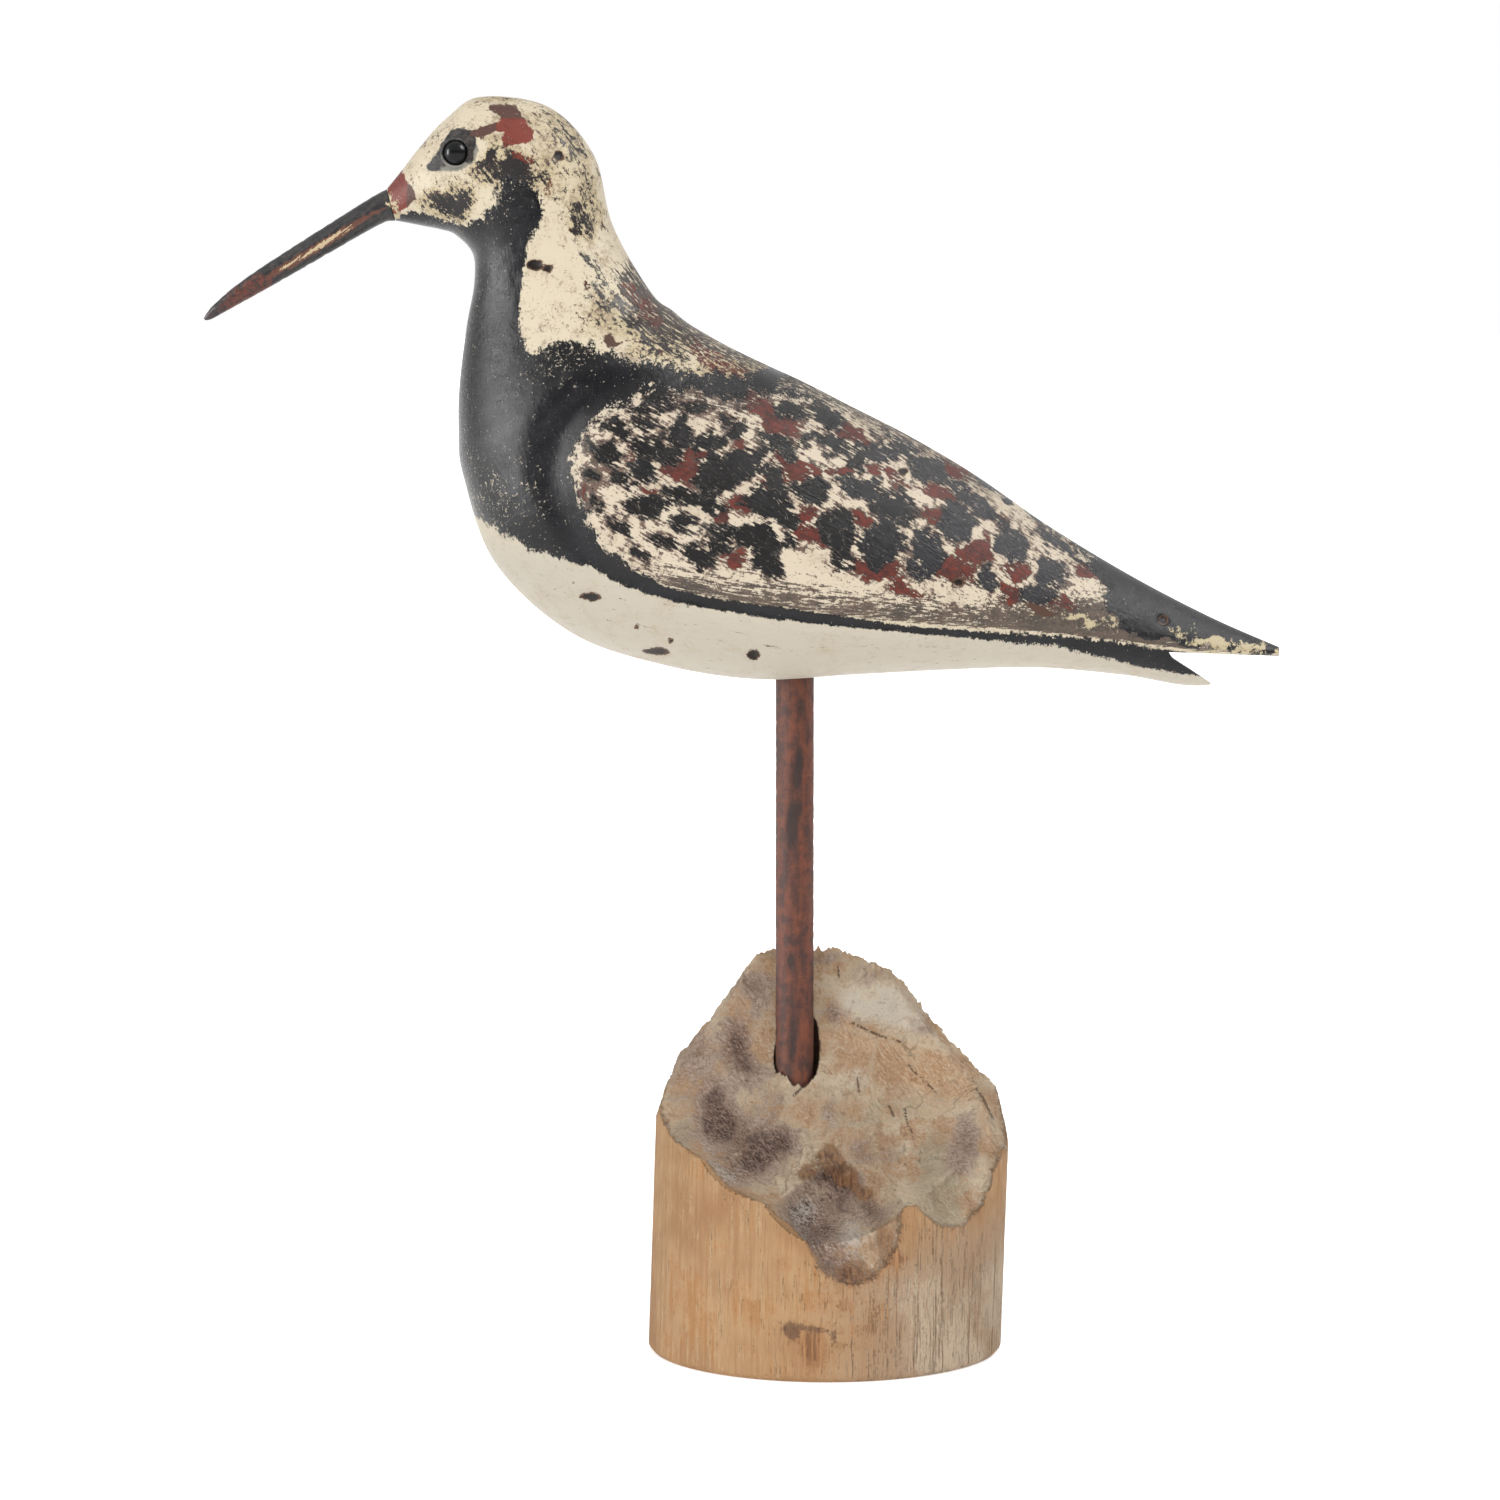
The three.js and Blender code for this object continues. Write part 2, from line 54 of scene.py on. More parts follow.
# Driving sizes
BIRD_LENGTH = 267.0
BODY_WIDTH = 66.0
ROD_IN_BIRD = 24.0
EYE_DIAMETER = 6.4
EYE_FLATNESS = 0.96  # the front of a bead against a full ball
BILL_TENON_DIAMETER = 5.0
BILL_TENON_LENGTH = 9.0
TENON_OVERLAP = 1.5  # how far the tenon runs into the bill
CLEARANCE = 0.3
LOG_DIAMETER = 89.0
LOG_FOOT_ROUNDING = 1.2
LOG_LEAN = 3.4
ROD_CHAMFER = 0.6
ROD_HOLE_DIAMETER = 11.4
ROD_HOLE_SHIFT = 0.5
ROD_HOLE_FLOOR = 38.0
ABOVE_LOG = 130.0
PUTTY_STANDS_OUT = 0.9
SURFACE_INSET = 0.06  # keeps the smooth surfaces inside the faceted solids' box


def in_millimetres(corners):
    """A CAD box's lowest and highest corners, in millimetres."""
    return [np.array(corner) / MM for corner in corners]


# Where the frame's own pieces stand, in millimetres
rod_low, rod_high = in_millimetres(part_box("stand_rod"))
ROD_RADIUS = (rod_high[0] - rod_low[0]) / 2
ROD_X = (rod_high[0] + rod_low[0]) / 2
BIRD_AT = np.array([ROD_X, 0.0, rod_high[2] - ROD_IN_BIRD])
LOG_HEIGHT = in_millimetres(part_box("driftwood_base"))[1][2]
along = BIRD_LENGTH / 100
across = BODY_WIDTH / 100

# The carving's ribs, from the face to the wing tips: a point on the back (x, z), one on the breast or belly
# (x, z), half the width in hundredths of the body's width, how far up that width lies, and the upper half's
# fullness, where 2 is an ellipse.
BIRD_RIBS = [
    (-37.8, 45.5, -37, 42.5, 6, 0.5, 2.1),  # bill seat
    (-36.4, 47.2, -35.9, 42.3, 9.6, 0.5, 2.1),
    (-34.5, 49.6, -34.4, 42, 13.6, 0.52, 2.1),  # lores
    (-32.2, 52, -32.9, 41.7, 17.6, 0.54, 2.1),
    (-29.1, 53.9, -31.5, 41.2, 20.8, 0.54, 2.1),  # eyes
    (-22.9, 53, -29.9, 39.4, 23.4, 0.52, 2.1),  # crown
    (-18.7, 48.6, -29.8, 36.6, 22.8, 0.5, 2),  # nape
    (-16.9, 42, -30.5, 32.8, 24, 0.5, 2),  # neck
    (-13.4, 35.9, -31.2, 27.3, 31.5, 0.5, 2),
    (-11.4, 34.2, -31.3, 23.1, 37, 0.5, 2),
    (-9.6, 32.8, -30.9, 18.9, 41.5, 0.5, 2),  # shoulders
    (-6.2, 30.9, -27.9, 10.7, 47.8, 0.5, 2.05),
    (-2.9, 29.3, -20.8, 4.2, 50, 0.5, 2.1),  # breast
    (0.8, 27.6, -12.1, 1.2, 49.8, 0.49, 2.1),
    (5.3, 25.3, -3.3, -0.1, 47.8, 0.47, 2.05),  # belly
    (10.7, 22.55, 5.5, 0.35, 43.8, 0.43, 1.95),
    (16.8, 18.95, 14.3, 0.8, 37.2, 0.38, 1.85),
    (23.6, 14.25, 22.6, 1, 29, 0.36, 1.75),  # rump
    (31.3, 9.6, 30.6, 0.3, 20.8, 0.38, 1.7),
    (38.8, 5.7, 38.4, -0.7, 12.4, 0.48, 1.8),  # tail
    (45.2, 2.9, 45.2, 1.9, 3.6, 0.5, 2),  # wing tips
]
BELLY_FULLNESS = 2.15

# The bill's ribs in the same way, from its drooping tip to its seat on the face
BILL_RIBS = [
    (-54.85, 33.55, -54.7, 33.35, 0.6, 0.5, 2.1), (-54.5, 34.15, -54.1, 33.45, 1.6, 0.5, 2.1),
    (-53.4, 35.35, -52.8, 34.15, 2.6, 0.5, 2.1), (-50.4, 37.65, -49.5, 35.95, 3.4, 0.5, 2.1),
    (-45.6, 40.75, -44.5, 38.75, 4, 0.5, 2.1), (-39.6, 44.5, -38.6, 42.1, 4.7, 0.5, 2.1),
    (-37.8, 45.5, -37, 42.5, 4.9, 0.5, 2.1),
]

# The folded wing's outline: x, z, the depth carved away at it, and that hollow's reach outside and inside
WING_OUTLINE = [
    (-21.9, 20.5, 0.9, 3.8, 3.2),  # shoulder
    (-21.2, 16.5, 0.85, 3.2, 2.8),
    (-17.9, 11.3, 0.75, 2.2, 2.2),
    (-11.5, 8.6, 0.65, 1.7, 1.7),
    (-1.4, 6.8, 0.6, 1.6, 1.4),
    (12.3, 5.3, 0.7, 2, 1.2),
    (26.1, 4.2, 0.9, 6, 1),
    (34.5, 2.9, 1, 14, 0.9),  # above the tail
    (38.6, 2.3, 1.5, 14, 0.8),
    (47, 1.9, 1.5, 14, 0.8),
    (53, 6, 0, 1, 1),
    (30, 22, 0, 1, 1),  # from here on the outline lies clear of the back
    (10, 34, 0, 1, 1),
    (-3.3, 27.9, 0.12, 1.6, 1.6),  # scapulars
    (-8.7, 28, 0.3, 2, 2),
    (-14.2, 27.4, 0.5, 2.4, 2.4),
    (-17.8, 26.3, 0.65, 3, 2.8),
    (-20.4, 24.5, 0.8, 3.4, 3.2),
]
WING_EDGE_DEPTH = 0.9
# How far below the wing's edge its black rim reaches, in millimetres, at some places along the bird; below
# the edge the black is partly painted shadow in the groove
RIM_BELOW = [(12, 15, 24, 28.5, 32), (1.9, 2, 3, 4.5, 5.5)]
RIM_ABOVE = 3.5  # how far up from the edge it reaches along the wing's front and upper edge
LOWER_RIM_ABOVE = 1.3
RIM_SETBACK = 0.2
RIM_TOP = 30  # no rim higher than this, where the neck begins
# The black under the wing tips, partly paint and partly painted shadow in the recess: from where along the
# bird, up to which height, and its reach in millimetres
NOTCH_BLACK_FROM = 33.5
NOTCH_BLACK_TOP = 2.6
NOTCH_BLACK_REACH = 5.2
MOST_HOLLOWED = 0.6

TAIL_NOTCH = [
    (34.7, 2.6), (45.6, 2.05), (50, 1.9), (50, -5), (38.85, -5), (38.85, -0.45), (36.9, 0.85),
    (35.1, 2),
]

# The log's bites: the way each cut faces, in degrees from +X and up, its floor's distance from the log's
# heart, and the radius of its hollow.
LOG_HEART = 0.79
LOG_BITES = [
    (-6, 45, 1.095, 8),  # right slope
    (-8, 28, 1.055, 4),
    (5, 70, 1.36, 6),  # crest
    (180, 78, 1.48, 5),
    (180, 40, 1.228, 8),  # left slope
    (178, 22, 1.125, 4),
    (90, 33, 0.9, 3.5),  # far side
    (132, 32, 1.06, 3),
    (45, 34, 1.08, 3),
    (100, 29, 0.88, 0.8),
    (77, 38, 0.905, 0.7),
    (70, 9, 0.95, 0.7),
    (130, 12, 0.955, 0.6),
    (-90, 49, 0.683, 3.43),  # front, where the rod stands
    (-39, 34, 0.949, 3.95),  # bevel down to the right
    (-61, 47, 0.629, 1.13),  # the front's single bites
    (-92, 47, 0.547, 0.99),
    (-46, 20, 0.869, 0.65),
    (-83, 3, 0.905, 0.59),
    (-89, 24, 0.535, 0.4),
    (-92, 56, 0.632, 1.05),
    (-132, 48, 0.678, 0.54),
    (-111, 41, 0.56, 0.53),
    (-137, 64, 0.83, 0.57),
    (-126, 39, 0.862, 0.35),
    (-144, 45, 0.972, 1.32),
]

# Dark soft spots on the log as it faces the camera, partly real stain and partly painted shade in the
# bites' hollows: x, z, reach along and up in millimetres, and amount
STAINS_AND_HOLLOW_SHADE = [
    (-30, 68, 12, 14, 0.22),  # the whole left side
    (-20, 54, 12, 8, 0.22),
    (-18, 86, 8, 7, 0.3),
    (-3, 36, 9, 8, 0.3),
    (-22, 77, 3, 5, 0.9),
    (-19, 71, 4, 4, 0.6),
    (-33, 76, 5, 6, 0.45),  # the left slope
    (-18, 91, 5, 4, 0.5),
    (-38, 68, 3, 5, 0.35),
    (-26, 58, 5, 4, 1),  # the long hollow on the left
    (-28, 64, 4, 4, 0.6),
    (-16, 53, 5, 4, 1),
    (-21, 49, 6, 4, 0.5),
    (-10, 55, 4, 4, 0.6),
    (-13, 64, 5, 5, 0.3),
    (0, 47, 4, 2.5, 1),  # the hollow under the brown tongue
    (5, 45, 4, 3, 0.8),
    (11, 40, 3, 3, 0.8),
    (-7, 40, 5, 4, 0.6),
    (-2, 34, 7, 5, 0.55),
    (4, 41, 4, 3, 0.5),
    (2, 27, 7, 4, 0.7),
    (9, 53, 5, 3, 0.35),  # right of the tongue
    (13, 51, 7, 4, 0.35),
    (1, 62, 3, 5, 0.4),
    (35, 55, 4, 5, 0.75),  # the right lobe
    (33, 49, 4, 3, 0.4),
    (-1, 97, 5, 2.5, 0.6),  # the crest
    (14, 94, 6, 2.5, 0.45),
    (27, 81, 6, 3, 0.5),
    (2, 84, 3, 4, 0.6),
]
OLIVE_PATCHES = [
    (28, 50, 8, 8, 0.7), (29, 40, 6, 5, 0.6), (6, 60, 9, 5, 0.5), (-35, 57, 4, 5, 0.6),
    (20, 62, 8, 4, 0.3),
]
PALE_PATCHES = [
    (12, 87, 10, 5, 0.9), (22, 82, 6, 3, 0.6), (-11, 75, 5, 8, 0.5), (-8, 58, 5, 5, 0.35),
    (8, 69, 6, 4, 0.5),
]
MOULD = [
    (-24, 48, 6, 3, 0.6), (-30, 53, 3, 4, 0.5), (-5, 39, 6, 5, 0.6), (7, 35, 4, 3, 0.65),
    (0, 33, 5, 2, 0.35), (-19, 59, 4, 3, 0.3), (-7, 53, 4, 3, 0.4),
]
TORN_FIBRES = [
    (5, 82, 2, 2.5, 1), (10, 79, 4, 2.5, 1), (16, 76, 4, 2.5, 1), (22, 73, 5, 3, 0.8),
    (28, 70, 6, 4, 0.8), (35, 68, 4, 4, 0.7), (16, 70, 5, 4, 0.5), (40, 60, 2, 6, 0.5),
    (-14, 94, 2, 3, 0.8), (-9, 80, 2, 2, 0.6), (-6, 2, 4, 2, 0.8), (26, 62, 12, 10, 0.3),
]
BROWN_PATCHES = [
    (1, 51, 3.5, 3.5, 1), (5, 47, 3.5, 3, 0.8), (10, 43, 3, 2, 0.7), (-5, 48, 2.5, 2.5, 0.8),
    (14, 36, 4, 5, 0.45), (7, 27, 7, 3, 0.4), (17, 30, 4, 3, 0.45), (-4, 8, 3, 6, 0.5),
    (-12, 30, 3, 4, 0.35), (-26, 27, 3, 4, 0.3), (6, 16, 20, 14, 0.42), (-12, 8, 8, 8, 0.12),
]
# Thin cracks: x and z along each, in millimetres
CRACKS = [
    [(7, 82), (10, 80.6), (13, 79.4), (19, 77.4)],
    [(21, 72), (22.2, 70.4), (24.4, 68.4), (28, 65)],
    [(20, 61.4), (20.4, 58.6), (22, 55.4)],
    [(8, 69.2), (8.5, 66)],
    [(16, 62.4), (17.1, 60)],
    [(3, 97), (3.9, 92)],
    [(-8, 65), (-5.8, 67)],
    [(37, 68.4), (40, 63), (42.6, 57.4)],
    [(35, 66), (37.4, 61)],
]
# A shallow dark scar near the foot, as dabs in millimetres
SCAR = [(-4.5, 13.6, 6.5, 0.9, 8), (-8.6, 13, 2, 2.2, 0), (1.6, 11.4, 0.8, 2, 0)]

# Painted areas with one edge all round, as closed smooth outlines
BIB = [
    (-38.5, 41.5), (-36.6, 43.2), (-34.4, 43.3), (-32, 42.4), (-29.6, 42.6), (-28, 43.4),
    (-27.5, 44.8), (-26.9, 46.4), (-25.3, 46.1), (-23.6, 45.2), (-23.1, 43.6), (-23.7, 41.6),
    (-24.8, 39), (-25.2, 36.6), (-25.1, 34), (-25.2, 31.7), (-24, 30.4), (-21.6, 31.2),
    (-18, 30.8), (-14.4, 29.8), (-9.7, 28.7), (-3.3, 27.8), (2.5, 25.8), (-3.3, 26.7), (-8.8, 27.3),
    (-14.4, 26.6), (-17.8, 25.2), (-19.6, 22.8), (-20.4, 20), (-19.6, 16.6), (-17.5, 12.9),
    (-13, 9.6), (-9.6, 7.5), (-13.8, 9), (-16.2, 10.9), (-19.6, 11.2), (-22, 11.7), (-25.7, 13.1),
    (-28.6, 14.8), (-31.6, 15.6), (-40, 20), (-42, 32),
]
RUMP = [
    (16.5, 19.4), (21, 16), (25, 13.1), (27.6, 10.6), (28.6, 8.4), (29, 6.4), (31, 4.6),
    (36, 3.4), (41, 2.6), (48, 1), (50, 6), (38, 12), (26, 18),
]
BACK_BAND = [
    (-16.6, 37.6), (-14.6, 34), (-12, 31.4), (-8, 29.6), (-3, 27.9), (3, 25.3), (8.5, 22.6),
    (13, 19.9), (17.6, 17.2), (22, 18.5), (8, 30), (-10, 40),
]
BRICK_PATCH = [
    (-29.9, 50.4), (-29, 51), (-27.7, 51.3), (-27.1, 51.8), (-27.8, 52.5), (-28.3, 52.9), (-27.2, 53.2),
    (-26, 53.1), (-25.2, 52.1), (-24.2, 50.7), (-24.3, 49.7), (-25.1, 49.4), (-26.7, 49.2), (-27, 49.8),
    (-26.7, 50.5), (-27.6, 50.5), (-28.9, 50),
]
BILL_BASE = [
    (-36.4, 47.2), (-35.9, 46.2), (-35, 45), (-35.2, 44.3), (-36.5, 43.2), (-37.3, 42.6), (-38.4, 42.8),
    (-38.4, 44.4), (-37.9, 45.6), (-37.2, 46.8),
]
EYE_PATCH = [
    (-34, 47.3), (-33.1, 48.5), (-32.5, 49.5), (-31.9, 50.5), (-30.8, 50.9), (-29.7, 50.6), (-29.3, 49.8),
    (-29.2, 48.7), (-29.6, 47.7), (-30.6, 47), (-32, 46.9), (-33.3, 46.9),
]

# Dabs of the brush: x, z, half its length, half its width, and its slope down to the tail in degrees
BLACK_DABS = [
    (-17.2, 21.3, 1.26, 1.12, 20), (-15.9, 23.4, 1.26, 0.75, 40), (-14.2, 25.1, 1.49, 0.62, 5),
    (-13.8, 23.8, 1.26, 0.62, 10), (-13.1, 21.4, 2.53, 0.88, 15), (-10.8, 23.1, 1.38, 1.62, 0),
    (-13.9, 19.7, 1.26, 0.88, 30), (-8, 22.2, 1.38, 1, 10), (-5.7, 23.6, 1.26, 1.12, 30),
    (-7.4, 19.3, 2.07, 1.5, 25), (-4.9, 20.2, 1.84, 1.38, 10), (-3.6, 21.3, 1.26, 0.75, 20),
    (-1.7, 18.8, 1.72, 1, 35), (-1.4, 21.9, 1.95, 1.25, 35), (-0.5, 25.1, 1.84, 0.88, 20),
    (2.9, 24.5, 1.49, 0.88, 30), (3.1, 22.2, 2.42, 0.75, 12), (7.5, 21.1, 2.53, 0.88, 12),
    (1.4, 17.8, 1.72, 1.25, 25), (-2.6, 16.7, 2.3, 1.25, 12), (-0.8, 15.4, 1.38, 1, 20),
    (-9.2, 17.1, 2.99, 0.88, 18), (-13.5, 16.4, 2.53, 1, -8), (-10.2, 15, 1.38, 0.88, 30),
    (-6.6, 14.4, 1.72, 0.75, 5), (-8.8, 12, 1.38, 1, 30), (-6.8, 12.9, 1.15, 0.88, 0),
    (-3.3, 13.4, 2.18, 1.38, 25), (-2.6, 11.1, 1.49, 1.25, 60), (-0.3, 13.3, 0.8, 0.5, 20),
    (3.7, 14.4, 1.95, 2, 0), (6, 17.9, 2.53, 0.88, 20), (8, 13.2, 2.07, 2.38, 60),
    (4.5, 12.1, 1.15, 0.62, 20), (4, 10.9, 1.26, 0.62, 10), (-11.7, 13.1, 2.18, 0.62, 20),
    (-18.6, 19, 0.92, 0.62, 10), (14.6, 15, 1.72, 1.75, 20), (12.1, 12.2, 2.18, 1.5, 70),
    (8.8, 16.5, 2.53, 1.25, 30), (20, 12.6, 1.49, 1.25, 50), (23.4, 10.3, 1.72, 1.12, 30),
    (17.5, 9.8, 1.38, 1, 50), (22, 8.3, 2.07, 1.12, -5), (12.5, 19.7, 2.07, 1.12, 35),
    (10, 21.7, 2.64, 0.5, 30), (17, 16.2, 1.61, 0.88, 40), (11.7, 10.5, 1.49, 0.75, 20),
    (19.6, 14.2, 2.42, 0.5, 38), (24.4, 12.6, 2.76, 0.62, 35), (-16, 19.3, 0.8, 0.75, 30),
    (-14.9, 18.1, 0.8, 0.5, 20), (5.4, 20.4, 1.15, 0.75, 10), (15.2, 17.5, 1.84, 0.5, 35),
    (-18.4, 21.8, 0.9, 0.5, 40), (-18, 16.9, 0.9, 0.55, 60), (-16.4, 14.6, 1.1, 0.55, 50),
    (-14.4, 12.4, 1.3, 0.5, 35), (-17.4, 23.9, 0.9, 0.5, 35), (-12.2, 26.1, 1.4, 0.5, 10),
    (-9.2, 25.4, 1.6, 0.6, 5), (-6.3, 26.4, 1.8, 0.5, 10),
]
RED_DABS = [
    (-2.1, 24.5, 3.08, 0.88, 36), (-15, 21.3, 1.21, 0.5, 65), (-10.6, 19.8, 2.42, 1, 32),
    (-9.4, 21.2, 1.21, 0.88, 10), (-0.3, 19.9, 2.42, 0.75, 22), (3.7, 19.7, 2.42, 0.5, 8),
    (5, 22.9, 2.2, 0.75, 30), (-2.3, 18, 1.54, 0.62, 25), (-4.8, 16.7, 1.21, 0.75, 35),
    (-6.8, 15.9, 0.77, 0.75, 40), (1.4, 13.8, 2.09, 0.75, 32), (0.8, 15.8, 0.99, 0.62, 10),
    (7.4, 10.8, 2.64, 1.12, 15), (6, 15.3, 0.77, 0.75, 40), (-5.7, 11.9, 1.21, 0.75, 10),
    (-16.6, 19.8, 0.77, 0.38, 40), (-13.3, 17.9, 0.99, 0.38, 30), (-19.2, 17.5, 0.77, 0.38, 75),
    (12.8, 15.5, 1.54, 0.75, 0), (14.3, 10.6, 1.76, 1.12, 10), (16.7, 12.1, 1.87, 1.25, 10),
    (19.7, 8.2, 0.99, 0.88, 0), (20.4, 10.5, 0.88, 0.88, 20), (24.5, 7.6, 1.76, 0.5, 15),
    (13.5, 17.4, 2.31, 0.5, 22), (15, 19.3, 1.32, 0.75, 35), (10, 8.8, 1.54, 0.62, 15),
    (18.9, 15, 1.32, 0.5, 38), (-5.1, 22.2, 0.66, 0.5, 30), (27.3, 10.2, 2.09, 0.62, 25),
    (-8.7, 19.8, 0.77, 1.12, 60), (8.4, 19, 2.09, 0.5, 20),
]
NAPE_RED = [
    (-14.2, 34.2, 2.8, 0.9, 55), (-13, 31.9, 1.9, 0.6, 50), (-7.6, 29.6, 2.6, 0.6, 32),
    (-5, 28, 1.6, 0.5, 32), (-25, 47.9, 0.8, 0.5, 20), (-22.6, 45.5, 0.5, 0.9, 10),
    (-20.4, 41.7, 0.4, 0.6, 10), (-19.2, 36.6, 0.7, 0.4, 60),
]
# Areas flecked with ragged black: x, z, reach along and up, and amount
SOOT = [
    (-31.2, 44.2, 1.9, 1.5, 1),  # cheek
    (-32.2, 43.6, 1.2, 1, 0.4),
    (-28.4, 46.9, 1.6, 1.2, 0.6),
    (-27.9, 48.8, 0.8, 1.5, 0.6),
    (-26.2, 47.3, 1.4, 1.6, 0.8),  # behind the cheek
    (-24.9, 46.4, 2.2, 1.6, 0.6),
    (-25, 51.5, 4, 2, 0.3),
    (-26, 54.2, 6, 0.8, 0.55),  # crown
    (-21.2, 51.2, 1.6, 2.6, 0.35),
    (-21.5, 47, 3, 4, 0.32),
    (-19.6, 42, 1.4, 1.8, 0.75),  # nape
    (-19, 45.5, 1.2, 3, 0.45),
    (-17.6, 38, 1.8, 2.6, 0.35),
    (-16.4, 34.6, 2.5, 2.5, 0.4),
    (-19.5, 33, 3.5, 2.2, 0.4),
    (-12.6, 31.3, 4, 2.2, 0.75),  # shoulders
    (-6, 28.6, 5, 1.6, 0.75),
    (-34.4, 45, 1.6, 1.6, 0.35),
    (-33.9, 50.2, 1.6, 1.6, 0.35),
]
DRY_STROKES = [
    (-18.6, 38.2, 2.2, 0.45, 58), (-17.6, 35.6, 1.8, 0.3, 48), (-18.3, 34.4, 1.5, 0.25, 46),
    (-17, 34.2, 1.4, 0.25, 46), (-19.8, 41.8, 0.7, 1, 10), (-20.4, 48.9, 1, 0.4, 50),
    (-14.8, 33.4, 3.4, 0.5, 52), (-11.4, 30.8, 3, 0.5, 38),
]
# Where cream shows through the black as specks, and the pale rim round the eye's hollow
WORN_THROUGH = [
    (-34, 26, 3, 14, 2.3), (-28, 17, 9, 5, 1.1), (-30, 36, 3, 5, 0.8), (-27.5, 44.5, 2.5, 3, 1),
    (-22, 30, 3, 3, 1), (-26, 24, 3, 8, 0.3),
]
# Where the black's edge is looser than elsewhere
LOOSE_BLACK = [
    (-24, 46, 4, 4, 0.5), (-17, 30, 9, 3, 1.2), (-30, 42, 4, 2, 0.3), (26, 9, 6, 6, 0.9),
    (-28, 13, 9, 3, 0.35), (-8, 27.5, 9, 1.5, 0.8),
]
STREAKED_NAPE = [(-14, 33, 3, 3, 0.4)]
BRUSHED_TAIL = [(28, 5.5, 7, 3.0, 0.8)]
# Brown smears between the dabs: at the wing's front and along its upper edge
SMEARED = [(-18.6, 19.6, 1.4, 3, 0.7), (-8, 24.8, 6, 1, 0.2), (14, 16, 8, 1.2, 0.25)]
EYE_RIM = [(-31.6, 46.9, 1.6, 0.6, 1), (-30.2, 47.2, 1.2, 0.5, 1), (-29.2, 48.4, 0.4, 1.2, 0.9)]
CREAM_CHIPS = [
    (-37.4, 44.6, 0.25, 0.5, 0),
    (-37, 43.2, 0.3, 0.35, 0),
    (38.8, 3.4, 2.6, 0.45, 16),  # the wing tips' edge
    (42.6, 2.7, 1.8, 0.4, 12),
    (44.9, 2.4, 0.5, 0.5, 0),
    (26.2, 5.9, 2.4, 0.5, 8),
]
BARE_STRIPS = [(22.6, 6.8, 2, 0.45, 12), (-16.8, 31.2, 0.8, 0.4, 20)]

# Holes and knocks in the wood: x, z, radius across and up in millimetres, depth in millimetres
KNOCKS = [
    (-21.8, 48.4, 1.3, 1.2, 1.2),
    (-23.9, 38.4, 1.9, 1.2, 1.3),
    (-22.8, 38, 1.3, 0.9, 1),
    (-18.8, 8.1, 2.3, 1.1, 1),
    (-12.8, 2.9, 3, 1, 0.9),
    (-3.9, 2.7, 1.5, 1.5, 1.5),  # a nail hole
    (-14.6, 5.3, 0.6, 0.6, 0.6),
    (-11.5, 4, 0.6, 0.6, 0.6),
    (9.9, 19.5, 1.1, 1, 1),
    (14.8, 9.4, 1.6, 0.9, 0.8),
    (34.1, 5.6, 1.1, 1.2, 1.2),
    (25.8, 12.6, 1, 0.7, 0.6),
]

# Darker rust round the rod: the way it faces in radians, height, reach round and up, and amount
DARK_RUST = [
    (-0.15, 94, 0.35, 7, 1.0), (0.25, 111, 0.3, 4, 0.8), (0.3, 124, 0.3, 4, 0.6), (-0.1, 41, 0.3, 9, 0.7),
    (0.1, 106, 0.25, 3, 0.9), (-0.2, 60, 0.3, 3, 0.7), (0.3, 99, 0.3, 3, 0.5), (0.5, 133, 0.6, 3, 0.6),
]

# How far the brush strays: swells in millimetres and their amounts
DRIFT_SWELLS = [(9, 0.7), (4.5, 0.5), (2.2, 0.3)]
DAB_FALL_OUTSIDE = 1.4  # how much faster a dab's field falls outside it
KNOCK_REACH = 1.5  # how far a knock's soft edge reaches, in shares of its radius
CRACK_HALF_WIDTH = 0.3
FAR_SIDE_MIRROR = -0.9  # the log's far side repeats the seen one, turned end for end
FAR_OUTSIDE = -9.0  # stands for well outside an area, in millimetres

STUDIO_LIGHT = 1.35  # how much brighter the studio's light shows a pale colour than it is
FRONT_LIGHT = 0.08  # the surround's brightness on the camera's side, where 1 is white behind the bird
OVERHEAD_LIGHT = 0.9
# Softboxes that are seen only as sheen: name, place in metres, width, height and power
SOFTBOXES = [
    ("left_softbox", (-1.6, -0.55, 0.25), 0.45, 1.5, 50),
    ("right_softbox", (1.1, -0.25, 1.4), 0.6, 0.7, 22),
]
FILL_LIGHT = 1.9
FILL_FROM = (-0.2, -1.3, 1.3)
FILL_SPREAD = 60  # degrees
LAMPS_AIM = (-0.01, 0, 0.18)
WHITE = (1, 1, 1, 1)

# The photograph's view: where from in millimetres, degrees tipped down, and the lens on its film
CAMERA_AT = (-18.8, -1245.05, 262.3)
CAMERA_TILT = 5.1
LENS_LENGTH = 120
SENSOR_WIDTH = 36

# How finely the surfaces are drawn, with the spacings in millimetres between points
BIRD_SPACING = 0.95
BIRD_POINTS_ROUND = 216
BILL_SPACING = 0.45
BILL_POINTS_ROUND = 56
ROD_RINGS = 210
LOG_POINTS_ROUND = 440
LOG_RINGS = 190
OUTLINE_SAMPLES = 6
WING_SAMPLES = 160
SWELLS = 24  # sine swells in one unevenness
SHIFT_STEPS = (37, 53, 71)  # set noises of one kind apart from each other


def smooth(x):
    """0 below 0, 1 above 1 and smooth between."""
    t = np.clip(x, 0, 1)
    return t * t * (3 - 2 * t)


def ramp(value, start, end):
    """0 before the start, 1 past the end and smooth between. The end may be the lower one."""
    return smooth((value - start) / (end - start))


